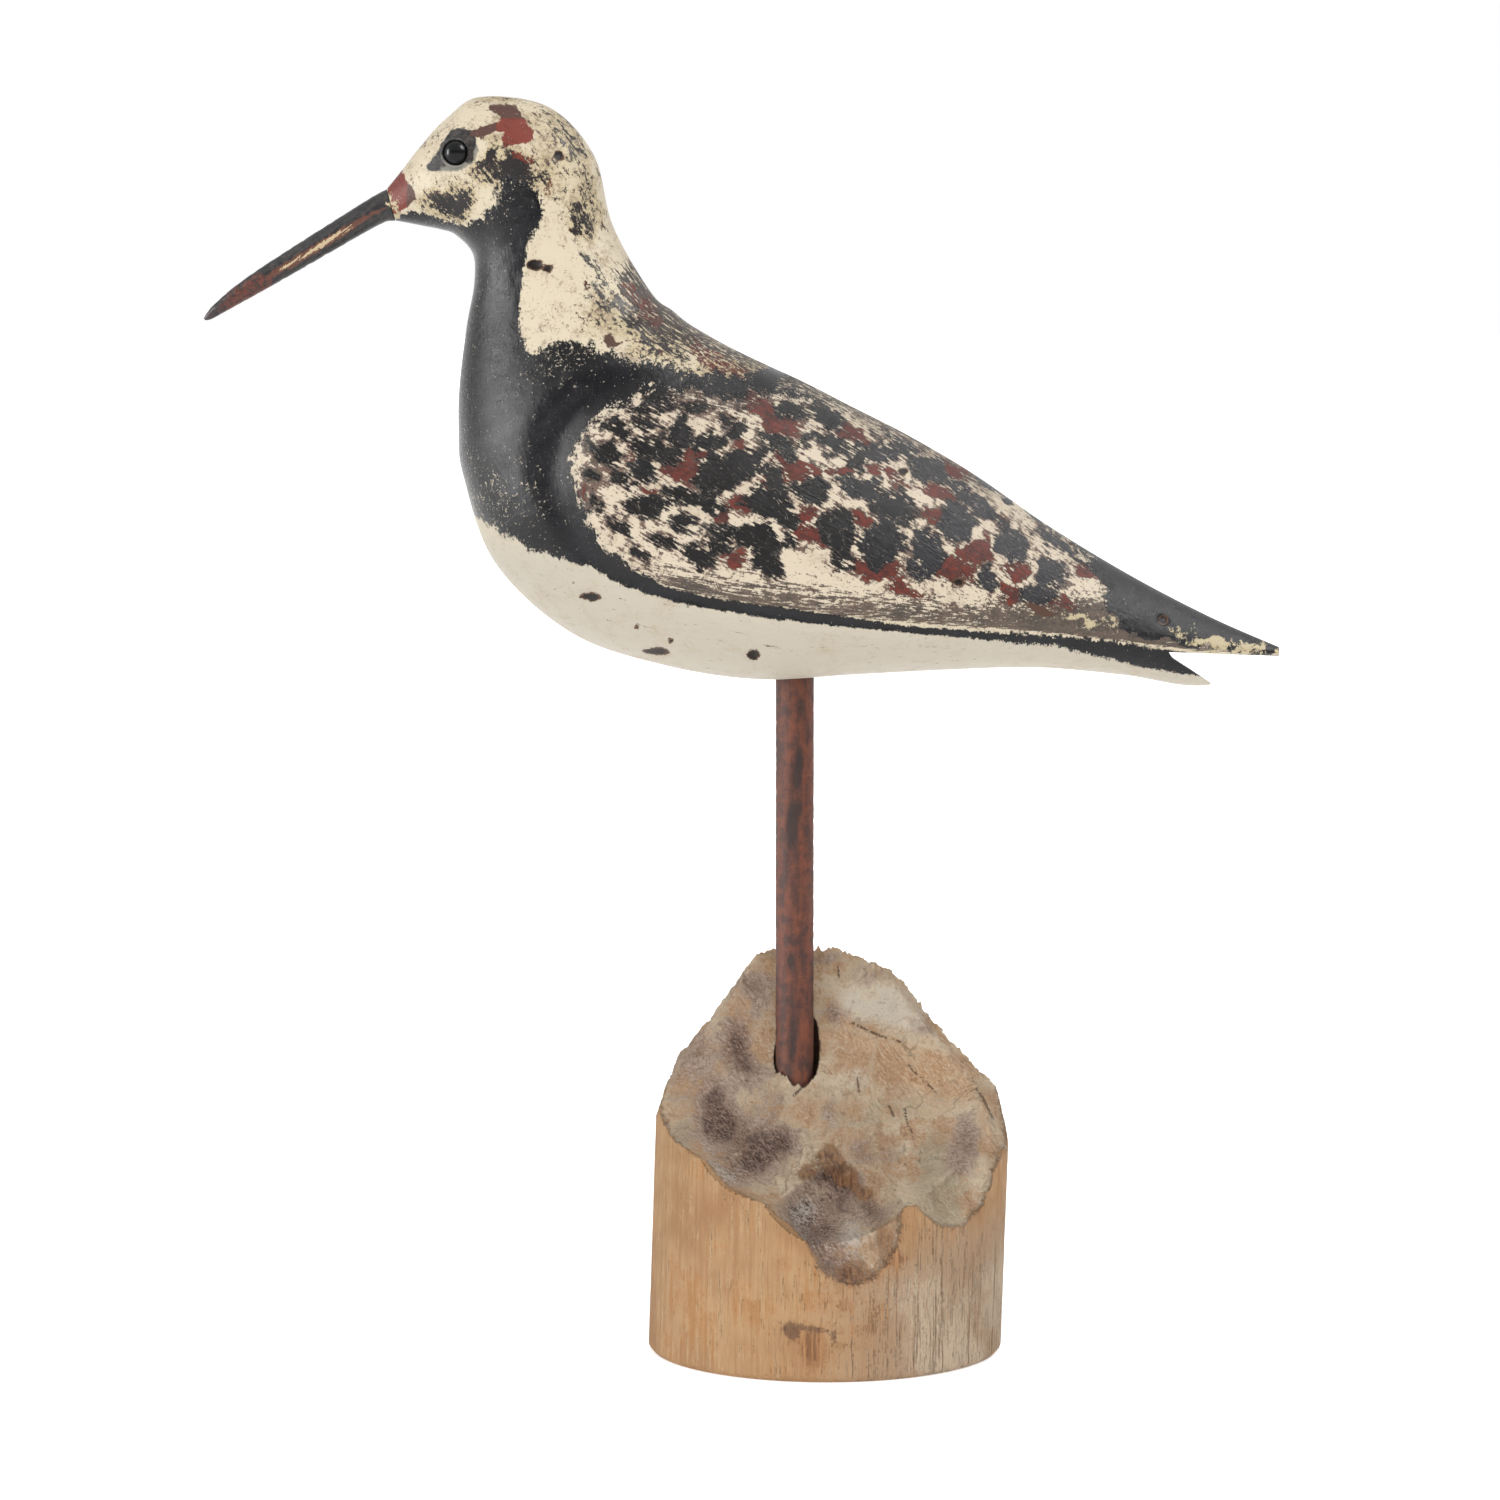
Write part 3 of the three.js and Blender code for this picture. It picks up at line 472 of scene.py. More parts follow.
def spline(points, t, closed=False):
    """A smooth curve through evenly timed points, read at times from 0 to 1."""
    points = np.asarray(points, float)
    count = len(points)
    place = np.asarray(t, float) * (count if closed else count - 1)
    first = np.floor(place).astype(int)
    if closed:
        spots = [(first + step) % count for step in range(-1, 3)]
    else:
        first = np.minimum(first, count - 2)
        spots = [np.clip(first + step, 0, count - 1) for step in range(-1, 3)]
    share = (place - first)[..., None]
    p0, p1, p2, p3 = (points[spot] for spot in spots)
    leave, arrive = (p2 - p0) / 2, (p3 - p1) / 2
    cubic = 2 * p1 - 2 * p2 + leave + arrive
    square = 3 * p2 - 3 * p1 - 2 * leave - arrive
    return ((cubic * share + square) * share + leave) * share + p1


def waves(points, size, seed):
    """A gentle unevenness from -1 to 1 or so, with swells about this many millimetres apart."""
    chance = np.random.default_rng(seed)
    total = np.zeros(len(points))
    for _ in range(SWELLS):
        direction = chance.normal(size=3)
        direction *= 2 * math.pi / (size * chance.uniform(0.7, 1.4) * np.linalg.norm(direction))
        total += np.sin(points @ direction + chance.uniform(0, 2 * math.pi))
    return total / math.sqrt(SWELLS)


def off_piece(start, end, x, z):
    """How far points lie from a straight piece of line, and how far along it their nearest place is."""
    (ax, az), (bx, bz) = start, end
    dx, dz = bx - ax, bz - az
    t = np.clip(((x - ax) * dx + (z - az) * dz) / (dx * dx + dz * dz), 0, 1)
    return np.hypot(x - ax - t * dx, z - az - t * dz), t


def nearest_on(line, x, z):
    """How points lie to a closed line.

    Gives each point's distance, the piece of line it is nearest to, how far along that piece, and whether
    the point lies inside.
    """
    near = np.full(x.shape, np.inf)
    piece = np.zeros(x.shape, int)
    share = np.zeros(x.shape)
    inside = np.zeros(x.shape, bool)
    for i, (start, end) in enumerate(zip(line, np.roll(line, -1, axis=0))):
        distance, t = off_piece(start, end, x, z)
        closer = distance < near
        near[closer], piece[closer], share[closer] = distance[closer], i, t[closer]
        (ax, az), (bx, bz) = start, end
        if az != bz:
            inside ^= ((az > z) != (bz > z)) & (x < ax + (z - az) / (bz - az) * (bx - ax))
    return near, piece, share, inside


def inside_by(outline, x, z):
    """How far points lie inside a smooth closed outline, in its own units, negative outside."""
    count = len(outline) * OUTLINE_SAMPLES
    line = spline(outline, np.arange(count) / count, closed=True)
    near, _, _, inside = nearest_on(line, x, z)
    return np.where(inside, near, -near)


def off_lines(lines, x, z):
    """How far points lie from the nearest of some open lines."""
    near = np.full(x.shape, np.inf)
    for line in lines:
        for start, end in zip(line, line[1:]):
            near = np.minimum(near, off_piece(start, end, x, z)[0])
    return near


def nearest_dab(dabs, x, z):
    """How far points lie inside the nearest of some oval dabs, negative outside, and which one that is."""
    best, which = np.full(x.shape, -np.inf), np.zeros(x.shape, int)
    for i, (dab_x, dab_z, half_length, half_width, slope) in enumerate(dabs):
        turn = math.radians(slope)
        u = (x - dab_x) * math.cos(turn) - (z - dab_z) * math.sin(turn)
        v = (x - dab_x) * math.sin(turn) + (z - dab_z) * math.cos(turn)
        reach = np.sqrt((u / half_length) ** 2 + (v / half_width) ** 2)
        inside = (1 - reach) * min(half_length, half_width) * np.where(reach > 1, DAB_FALL_OUTSIDE, 1)
        which[inside > best] = i
        best = np.maximum(best, inside)
    return best, which


def inside_dabs(dabs, x, z):
    """How far points lie inside the nearest of some oval dabs, negative outside."""
    return nearest_dab(dabs, x, z)[0]


def soft_spots(spots, x, z):
    """Soft-edged spots added up: x, z, reach along, reach up and amount."""
    total = np.zeros(x.shape)
    for spot_x, spot_z, reach_x, reach_z, amount in spots:
        total += amount * np.exp(-(((x - spot_x) / reach_x) ** 2) - ((z - spot_z) / reach_z) ** 2)
    return total


def rib_surface(ribs, t, angle):
    """Points in millimetres on smoothly joined ribs, and half the width at each rib.

    The angles run from 0 on the back through +Y. The points have the shape (t, angle, 3).
    """
    rows = spline(ribs, t)[:, None, :]
    back, breast = rows[..., 0:2], rows[..., 2:4]
    half, widest, roof = rows[..., 4], rows[..., 5], rows[..., 6]
    up = np.cos(angle)[None, :]
    power = 2 / np.where(up > 0, roof, BELLY_FULLNESS)
    reach = np.abs(up) ** power
    height = np.where(up > 0, widest + (1 - widest) * reach, widest * (1 - reach))
    side = half * across * np.abs(np.sin(angle))[None, :] ** power * np.sign(np.sin(angle))
    profile = (breast + (back - breast) * height[..., None]) * along
    return np.stack([profile[..., 0], side, profile[..., 1]], -1), half * across


def evenly(ribs, spacing):
    """Times along the ribs so that neighbouring ones lie about this many millimetres apart."""
    t = np.linspace(0, 1, 2001)
    rows = spline(ribs, t)
    steps = np.diff(rows[:, :4], axis=0) * along
    travel = np.maximum(np.hypot(steps[:, 0], steps[:, 1]), np.hypot(steps[:, 2], steps[:, 3]))
    gone = np.concatenate([[0], np.cumsum(travel)])
    count = int(gone[-1] / spacing) + 2
    return np.interp(np.linspace(0, gone[-1], count), gone, t)


def wing_place(x, z):
    """How points lie to the wing's outline, and the hollow carved there, in millimetres.

    Gives how far inside a point lies, negative outside, the hollow's depth, and its reach out and in.
    """
    line = spline(WING_OUTLINE, np.arange(WING_SAMPLES) / WING_SAMPLES, closed=True) * along
    near, piece, share, inside = nearest_on(line[:, :2], x, z)
    here, there = line[piece, 2:], line[(piece + 1) % WING_SAMPLES, 2:]
    hollow = here + (there - here) * share[..., None]
    return np.where(inside, near, -near), np.maximum(hollow[..., 0], 0), hollow[..., 1], hollow[..., 2]


def knock_depth(x, z):
    """The depth in millimetres of the holes and knocks, and how far inside one a point lies."""
    depth, inside = np.zeros(x.shape), np.full(x.shape, FAR_OUTSIDE)
    for knock_x, knock_z, wide, high, deep in KNOCKS:
        reach = np.hypot((x - knock_x) * along / wide, (z - knock_z) * along / high)
        depth = np.maximum(depth, deep * smooth(KNOCK_REACH - reach))
        inside = np.maximum(inside, (1 - reach) * min(wide, high))
    return depth, inside


def to_mesh(name, points, faces):
    """An object from points in millimetres."""
    mesh = bpy.data.meshes.new(name)
    mesh.from_pydata((np.asarray(points) * MM).tolist(), [], faces)
    piece = bpy.data.objects.new(name, mesh)
    bpy.context.scene.collection.objects.link(piece)
    return piece


def skin(name, rings):
    """One closed surface over rings of points, with a fan over each end."""
    rows, count = rings.shape[:2]
    row, column = np.meshgrid(np.arange(rows - 1), np.arange(count), indexing="ij")
    a = row * count + column
    b = row * count + (column + 1) % count
    faces = np.stack([a, a + count, b + count, b], -1).reshape(-1, 4).tolist()
    start, end = rows * count, rows * count + 1
    last = (rows - 1) * count
    for i in range(count):
        faces.append([start, i, (i + 1) % count])
        faces.append([end, last + (i + 1) % count, last + i])
    middles = [rings[0].mean(axis=0), rings[-1].mean(axis=0)]
    return to_mesh(name, np.concatenate([rings.reshape(-1, 3), middles]), faces)


def lathe(name, profile, sides):
    """A turned solid round the Z axis from pairs of radius and height, from its low end to its high one."""
    turn = np.linspace(0, 2 * math.pi, sides, endpoint=False)
    radius, height = np.array(profile, float).T
    rings = np.stack(
        [
            radius[:, None] * np.cos(turn),
            -radius[:, None] * np.sin(turn),
            np.repeat(height[:, None], sides, axis=1),
        ],
        -1,
    )
    return skin(name, rings)


def ball(name, radius, pole, front=1.0):
    """A round bead with its poles cut off at a small angle, and its front half flattened to this share."""
    slope = np.linspace(pole, math.pi - pole, 40)
    height = -radius * np.cos(slope) * np.where(np.cos(slope) > 0, 1, front)
    return lathe(name, np.stack([radius * np.sin(slope), height], -1), 64)


def carve(piece, others, operation="DIFFERENCE"):
    """Cuts other closed pieces out of one, or joins them to it, and clears them away."""
    for other in others:
        change = piece.modifiers.new("carving", "BOOLEAN")
        change.object = other
        change.operation = operation
        change.solver = "MANIFOLD"
    bpy.context.view_layer.update()
    seen = piece.evaluated_get(bpy.context.evaluated_depsgraph_get())
    mesh = bpy.data.meshes.new_from_object(seen)
    piece.modifiers.clear()
    piece.data = mesh
    for other in others:
        bpy.data.objects.remove(other)
    return piece


def places(piece):
    """A piece's points in millimetres."""
    flat = np.empty(len(piece.data.vertices) * 3)
    piece.data.vertices.foreach_get("co", flat)
    return flat.reshape(-1, 3) / MM


def mark(piece, **fields):
    """Keeps one number for each point under each name, which a material reads."""
    for name, values in fields.items():
        layer = piece.data.attributes.new(name, "FLOAT", "POINT")
        layer.data.foreach_set("value", np.asarray(values, np.float32))


def stood(piece, offset, up=(0, 0, 1)):
    """Turns a piece's Z axis to point another way and moves the piece by an offset in millimetres."""
    turn = Vector((0, 0, 1)).rotation_difference(Vector(up)).to_matrix().to_4x4()
    turn.translation = Vector(offset) * MM
    piece.data.transform(turn)
    return piece


def dress(piece, material, sharp_angle):
    """Gives a piece its material and smooth shading, with edges sharper than an angle kept."""
    piece.data.materials.clear()
    piece.data.materials.append(material)
    piece.data.polygons.foreach_set("use_smooth", [True] * len(piece.data.polygons))
    piece.data.set_sharp_from_angle(angle=math.radians(sharp_angle))


class Wire:
    """One output of a node. Reckoning with wires and numbers adds Math nodes."""

    def __init__(self, wiring, socket):
        self.wiring, self.socket = wiring, socket

    def maths(self, operation, *values):
        return self.wiring.node("ShaderNodeMath", {"operation": operation}, dict(enumerate(values)))

    def __add__(self, other):
        return self.maths("ADD", self, other)

    def __sub__(self, other):
        return self.maths("SUBTRACT", self, other)

    def __rsub__(self, other):
        return self.maths("SUBTRACT", other, self)

    def __mul__(self, other):
        return self.maths("MULTIPLY", self, other)

    def __abs__(self):
        return self.maths("ABSOLUTE", self)

    __radd__ = __add__
    __rmul__ = __mul__

    def at_least(self, other):
        return self.maths("MAXIMUM", self, other)

    def rise(self, low, high):
        """0 below low, 1 above high and smooth between, or the other way round where low is above high."""
        settings = {"interpolation_type": "SMOOTHSTEP", "clamp": True}
        if low < high:
            return self.wiring.node("ShaderNodeMapRange", settings, {0: self, 1: low, 2: high, 3: 0, 4: 1})
        return self.wiring.node("ShaderNodeMapRange", settings, {0: self, 1: high, 2: low, 3: 1, 4: 0})


class Wiring:
    """The nodes of a material or of the surround."""

    def __init__(self, owner):
        owner.use_nodes = True
        self.nodes = owner.node_tree.nodes
        self.links = owner.node_tree.links

    def node(self, kind, settings, sockets, output=0):
        """Adds a node: its settings first, then the values or links of its sockets. Gives one output."""
        made = self.nodes.new(kind)
        for name, value in settings.items():
            setattr(made, name, value)
        for key, value in sockets.items():
            self.feed(made.inputs[key], value)
        return Wire(self, made.outputs[output])

    def feed(self, socket, value):
        if isinstance(value, Wire):
            self.links.new(value.socket, socket)
        else:
            socket.default_value = value


def tone(shown):
    """A colour for the shader from one as it shows in the studio's light: red, green and blue, 0 to 255."""
    channels = [channel / 255 for channel in shown]
    linear = [c / 12.92 if c <= 0.04045 else ((c + 0.055) / 1.055) ** 2.4 for c in channels]
    return (*(c / STUDIO_LIGHT for c in linear), 1.0)


class Finish(Wiring):
    """A material in the making, and the shader that its nodes feed."""

    def __init__(self, name):
        self.material = bpy.data.materials.new(name)
        super().__init__(self.material)
        self.shader = self.nodes["Principled BSDF"]
        here = self.node("ShaderNodeTexCoord", {}, {}, "Object")
        self.place = self.node("ShaderNodeVectorMath", {"operation": "SCALE"}, {0: here, "Scale": 1 / MM})

    def read(self, name):
        """A number that was kept for each point."""
        return self.node("ShaderNodeAttribute", {"attribute_name": name}, {}, "Fac")

    def noise(self, size, detail=3, roughness=0.55, where=None, shift=0.0):
        """Cloudy noise round 0, from about -0.5 to 0.5, with clouds of this size."""
        where = where or self.place
        if shift:
            shifts = {0: where, 1: tuple(shift * step for step in SHIFT_STEPS)}
            where = self.node("ShaderNodeVectorMath", {"operation": "ADD"}, shifts)
        sockets = {"Vector": where, "Scale": 1 / size, "Detail": detail, "Roughness": roughness}
        return self.node("ShaderNodeTexNoise", {}, sockets) - 0.5

    def drawn(self, slope, length, width, detail=3, roughness=0.55, shift=0.0):
        """Noise drawn out into streaks of this length and width, along a slope down to the tail."""
        sockets = {
            "Vector": self.place,
            "Rotation": (0, math.radians(slope), 0),
            "Scale": (length, width, width),
        }
        where = self.node("ShaderNodeMapping", {"vector_type": "TEXTURE"}, sockets)
        return self.noise(1, detail, roughness, where, shift)

    def mix(self, share, first, second):
        """A colour between two, where share 0 is the first. Plain colours are given as they show."""
        first, second = (tone(c) if isinstance(c, tuple) else c for c in (first, second))
        return self.node("ShaderNodeMix", {"data_type": "RGBA"}, {0: share, 6: first, 7: second}, 2)

    def coats(self, colour, *coats):
        """Lays coats over a colour, each given as how much of it covers and its own colour."""
        for share, coat in coats:
            colour = self.mix(share, colour, coat)
        return colour

    def finished(self, colour, roughness, height, specular=0.5, metallic=0.0):
        """Feeds the shader. Height is in millimetres."""
        sockets = {
            "Base Color": colour,
            "Roughness": roughness,
            "Metallic": metallic,
            "Specular IOR Level": specular,
            "Normal": self.node("ShaderNodeBump", {}, {"Height": height, "Distance": MM, "Strength": 1.0}),
        }
        for name, value in sockets.items():
            self.feed(self.shader.inputs[name], value)
        return self.material


class BirdPaint(Finish):
    """Worn oil paint: the noises that fray and drag its coats, and what the coats add up to."""

    def __init__(self):
        super().__init__("worn_oil_paint")
        self.rag = self.noise(2.6, detail=6, roughness=0.72)
        self.fray = self.noise(0.9, detail=5, roughness=0.75, shift=3.0)
        self.specks = self.noise(0.5, detail=3, roughness=0.7, shift=12.0)
        self.cloud = self.noise(14, detail=2)
        self.grime = self.noise(5, detail=5, roughness=0.75, shift=8.0)
        self.strokes = self.drawn(30, 4.0, 0.6, detail=5, roughness=0.7)
        self.level_strokes = self.drawn(9, 9.0, 0.6, detail=5, roughness=0.7, shift=1.0)
        self.down_strokes = self.drawn(82, 5.0, 0.4, detail=4, roughness=0.65, shift=2.0)
        self.nape_strokes = self.drawn(50, 4.5, 0.8, detail=5, roughness=0.7, shift=5.0)
        self.red_brown = self.mix((self.rag + self.strokes).rise(-0.15, 0.2), (70, 34, 28), (120, 50, 36))
        self.belly, self.wing, self.soot = (self.read(name) for name in ("belly", "wing", "soot"))
        self.dark = 0.0
        self.roughness = self.grime * 0.25 + 0.5
        self.height = self.rag * 0.1 + self.fray * 0.08 + self.specks * 0.02
        self.height += self.strokes * 0.18 * self.wing + self.level_strokes * self.belly * 0.14

    def edge(self, name, ragged):
        """1 inside a painted area and 0 outside, its edge wandering by about this many millimetres."""
        return (self.read(name) + self.rag * (7.0 * ragged) + self.fray * (4.0 * ragged)).rise(-0.15, 0.15)


def ground(f):
    """Cream and white, dulled and mottled by age, with scuffed brush lines on the belly."""
    ochre = (f.soot * 1.2 + f.grime + f.rag * 0.5).rise(0.4, 0.8) * (1 - f.wing)
    mottle = (f.fray + f.grime * 0.8 + f.specks * 0.7 + f.soot * 0.16).rise(0.08, 0.2)
    return f.coats(
        f.mix(f.belly, (225, 211, 184), (205, 196, 179)),
        (f.wing * 0.7, (222, 206, 184)),
        ((f.grime + f.cloud * 0.5).rise(-0.02, 0.25) * 0.6, (198, 182, 156)),
        (ochre * 0.5, (192, 170, 118)),
        (mottle * 0.6 * (1 - f.belly * 0.75 - f.wing * 0.4), (150, 130, 108)),
        (f.level_strokes.rise(0.06, 0.22) * f.belly * 0.5, (184, 172, 154)),
        ((f.level_strokes + f.specks * 0.6).rise(0.21, 0.28) * f.belly * 0.7, (112, 94, 78)),
    )


def flecked(f, colour):
    """Ragged black flecks, dry-brushed margins, streaks on the back and red-brown on the nape."""
    browned = (f.cloud + f.fray * 1.4 - f.soot * 0.25).rise(-0.2, 0.15)
    fleck_colour = f.mix(browned, (38, 33, 33), (116, 92, 80))
    brush_colour = f.mix((f.grime + f.fray).rise(-0.15, 0.15), (34, 27, 24), (94, 75, 66))
    streak_colour = f.mix(f.cloud.rise(-0.1, 0.12), (38, 31, 29), (72, 60, 56))
    flecks = (f.rag * 0.9 + f.fray * 0.8 + f.nape_strokes * 0.8 + f.soot * 0.42 - 0.31).rise(-0.015, 0.03)
    brushed = f.level_strokes * 1.8 + f.fray * 0.9 + f.specks * 0.6 + f.rag * 0.4
    brushed += f.read("drybrush") * 0.58 - 0.34
    streaks = f.nape_strokes * 1.6 + f.strokes * 0.9 + f.fray * 0.5 + f.read("streaks") * 0.6 - 0.42
    f.height -= flecks * 0.03
    return f.coats(
        colour,
        (flecks, fleck_colour),
        (brushed.rise(-0.03, 0.06) * 0.92, brush_colour),
        (streaks.rise(-0.03, 0.03) * 0.95, streak_colour),
        (f.edge("nape_red", 1.0) * (f.nape_strokes * 1.5 + f.fray * 0.8).rise(-0.1, -0.02), f.red_brown),
    )


def dabbed(f, colour):
    """Thin brown, then red-brown and black dabs, dragged along the feathers."""
    dab_field, red_field = f.read("dabs"), f.read("red")
    near_dabs = dab_field.at_least(red_field)
    drag = f.strokes * 6.5 + f.fray * 1.1 + f.rag * 4.4
    under = near_dabs * 0.8 + 0.6 + drag * 1.2 + f.rag * 3 + f.read("smeared") * 2.0
    under = under.rise(-0.1, 0.2) * (near_dabs * 0.4 + 1.6).rise(0, 0.5)
    browned = (f.grime * 0.6 + f.fray + f.strokes * 0.8).rise(-0.12, 0.16)
    smear = (f.strokes * 1.2 + f.fray * 0.8 + f.grime * 0.5 + f.specks * 0.4).rise(0.15, 0.2) * f.wing
    red = (f.strokes * 1.2 + f.fray * 1.2 + f.specks * 0.5).rise(-0.28, -0.12)
    red *= (red_field + drag).rise(-0.1, 0.15)
    dabs = (f.fray * 0.9 + f.specks * 0.6 + f.rag * 0.6).rise(-0.34, -0.29)
    dabs *= (dab_field + drag - 0.05).rise(-0.05, 0.05)
    f.dark = dabs.at_least(f.dark)
    f.height += red * 0.03 + dabs * f.strokes * 0.14
    return f.coats(
        colour,
        (under * 0.9, f.mix(browned, (38, 27, 25), (112, 82, 70))),
        (smear * 0.75, (86, 66, 58)),
        (red, f.red_brown),
        (dabs, dab_colour(f)),
    )


def dab_colour(f):
    """Brownish to bluish black, the lighter bluish black toward the tail partly a painted sheen, with pale
    scratch lines that are partly painted glints.
    """
    # Lighter, bluer black: partly bluish paint, partly a painted sheen on the wing's rear
    blue_tone_and_sheen = f.read("dab_tone") + f.cloud * 0.4 + f.strokes * 0.5
    scratches = abs(f.drawn(42, 5.0, 1.1, detail=1, shift=15.0)).rise(0.012, 0.003)
    return f.coats(
        f.mix(blue_tone_and_sheen.rise(0.3, 0.8), (10, 6, 5), (37, 36, 40)),
        (f.strokes.rise(0.05, 0.2) * 0.5, (44, 32, 28)),
        # Pale lines in the dabs: partly fine crackle, partly painted glints on the raised paint
        (scratches * (f.rag + f.fray * 0.5).rise(0.0, 0.08) * 0.7, (176, 164, 150)),
    )


def blackened(f, colour):
    """The bib, the wing's rim, the rump and the tail notch, worn through to specks of cream. Below the
    wing's edge and under the wing tips the black is partly painted shadow in the groove and the recess.
    """
    ragged = f.read("ragged")
    covered = (f.read("black") + (f.rag * 8 + f.fray * 6 + f.down_strokes * 5) * ragged).rise(-0.15, 0.15)
    worn = f.specks + f.fray * 1.4 + f.down_strokes * 0.3 + f.rag * 0.5 + ragged * 0.05
    worn = (worn + f.read("wear") * 0.13).rise(0.36, 0.38)
    black = covered * (1 - worn)
    black_colour = f.mix((f.cloud + f.down_strokes * 0.8).rise(-0.2, 0.25), (12, 11, 14), (27, 27, 31))
    brush_lines = (f.down_strokes + f.fray * 0.6).rise(0.1, 0.22)
    f.dark = black.at_least(f.dark)
    f.height += f.down_strokes * 0.12 * black
    f.roughness += worn * 0.15
    return f.coats(
        colour,
        (covered * worn * 0.7, (230, 218, 194)),
        (black, f.mix(brush_lines * 0.17, black_colour, (84, 82, 82))),
    )


def patched(f, colour):
    """Dry strokes down the nape, the dark hollow round the eye and the brick-red patches."""
    dry_strokes = f.edge("dry_strokes", 0.7) * (f.nape_strokes * 1.5 + f.fray * 0.8).rise(-0.12, -0.04)
    rim = (f.read("eye_rim") + f.rag * 0.8 + f.fray * 0.8).rise(0.35, 0.7)
    hollow = f.mix((f.rag + f.fray).rise(-0.12, 0.2), (28, 25, 25), (72, 65, 62))
    brick = f.mix((f.strokes + f.cloud).rise(-0.15, 0.2), (86, 38, 31), (132, 56, 43))
    brick = f.mix((f.read("faded") + f.rag).rise(0.3, 0.6), brick, (92, 60, 51))
    f.dark = dry_strokes.at_least(f.dark)
    return f.coats(
        colour,
        (dry_strokes * 0.95, (46, 42, 42)),
        (f.edge("eye_patch", 0.4), f.mix(rim, hollow, (146, 142, 130))),
        (f.edge("brick", 0.35) * (f.fray + f.specks).rise(-0.3, -0.2), brick),
    )


def damaged(f, colour):
    """Cream chips, bare strips, and the holes and knocks in the wood: bare wood round each, and painted
    shade in their depths.
    """
    chips, bare = f.edge("chips", 1.6), f.edge("bare", 0.3)
    hole = f.read("knocks") + f.fray
    f.height -= bare * 0.1 + chips * 0.04
    return f.coats(
        colour,
        (chips, (204, 188, 152)),
        (bare, (88, 60, 46)),
        ((hole + f.rag * 2.2).rise(-0.25, -0.05), (96, 68, 50)),
        # The dark core of each hole and knock is painted shade in its depth
        ((hole + f.rag * 1.5).rise(0.05, 0.3), (34, 26, 22)),
    )


def bird_paint():
    """The bird's paint, coat by coat over its ground, with its dark paint a little raised and glossy."""
    f = BirdPaint()
    colour = ground(f)
    for coat in (flecked, dabbed, blackened, patched, damaged):
        colour = coat(f, colour)
    return f.finished(colour, f.roughness - f.dark * 0.26, f.height + f.dark * 0.05, specular=0.3)


def bill_paint():
    """Black paint rubbed through to cream and red-brown along the middle of the bill."""
    f = Finish("rubbed_bill_paint")
    rag = f.noise(1.3, detail=4, roughness=0.6)
    fray = f.noise(0.4, detail=3, shift=4.0)
    strokes = f.drawn(-38, 7.0, 0.5, detail=3, roughness=0.6)
    rub = f.read("rub")
    red_brown = f.mix((rag + fray).rise(-0.1, 0.2), (70, 44, 38), (116, 56, 42))
    colour = f.coats(
        f.mix((strokes + rag).rise(-0.2, 0.3), (38, 37, 38), (66, 62, 60)),
        ((rub + rag * 0.8 + strokes * 0.9 - 0.25).rise(0.0, 0.2), (104, 62, 46)),
        ((rub + strokes * 1.4 + fray * 0.6 - 0.72).rise(0.0, 0.12), (206, 184, 146)),
        ((f.read("tip") + rag * 1.6 + strokes * 1.2).rise(0.35, 0.85), red_brown),
        ((f.read("end") + rag * 0.4).rise(0.4, 0.8), (62, 50, 52)),
        ((f.read("seat") + rag * 1.4 + fray).rise(0.75, 0.95), (214, 196, 158)),
    )
    height = strokes * 0.08 + rag * 0.08 + fray * 0.04
    return f.finished(colour, 0.42 + rag * 0.2, height, specular=0.4)


def bead_glass():
    """Black glass, faintly scratched and dusty."""
    f = Finish("black_bead_glass")
    scratches = f.drawn(30, 3.0, 0.12, detail=2)
    dust = f.noise(0.6, detail=3)
    colour = f.mix(dust.rise(0.1, 0.4) * 0.3, (12, 13, 15), (36, 36, 38))
    roughness = 0.24 + dust.rise(0.1, 0.5) * 0.12
    return f.finished(colour, roughness, scratches * 0.004, specular=0.25)


def putty():
    """Grey putty round the eyes, painted over and rubbed."""
    f = Finish("grey_putty")
    lumps = f.noise(0.9, detail=4, roughness=0.6)
    colour = f.mix(lumps.rise(-0.12, 0.2), (44, 42, 42), (92, 92, 86))
    colour = f.mix((f.read("low") + lumps * 0.5).rise(0.0, 0.5), colour, (138, 136, 126))
    return f.finished(colour, 0.6 + lumps * 0.2, lumps * 0.15)


def rust():
    """Even brown rust with darker scale and pits."""
    f = Finish("brown_rust")
    scale = f.noise(3.2, detail=5, roughness=0.65)
    grit = f.noise(0.5, detail=4, roughness=0.6, shift=2.0)
    runs = f.drawn(90, 14.0, 1.6)
    pits = f.read("pits")
    colour = f.coats(
        f.mix((scale + runs * 0.7).rise(-0.18, 0.2), (78, 48, 40), (122, 66, 44)),
        ((grit + scale * 0.4).rise(0.02, 0.25) * 0.6, (146, 84, 58)),
        ((grit - scale * 0.6).rise(0.08, 0.3) * 0.7, (56, 40, 38)),
        ((pits + scale * 1.3 + grit * 0.6).rise(0.25, 0.7) * 0.85, (44, 36, 35)),
    )
    height = grit * 0.1 + scale * 0.16 - pits.rise(0.1, 0.8) * 0.1
    return f.finished(colour, 0.66 + grit * 0.25, height, metallic=0.15)


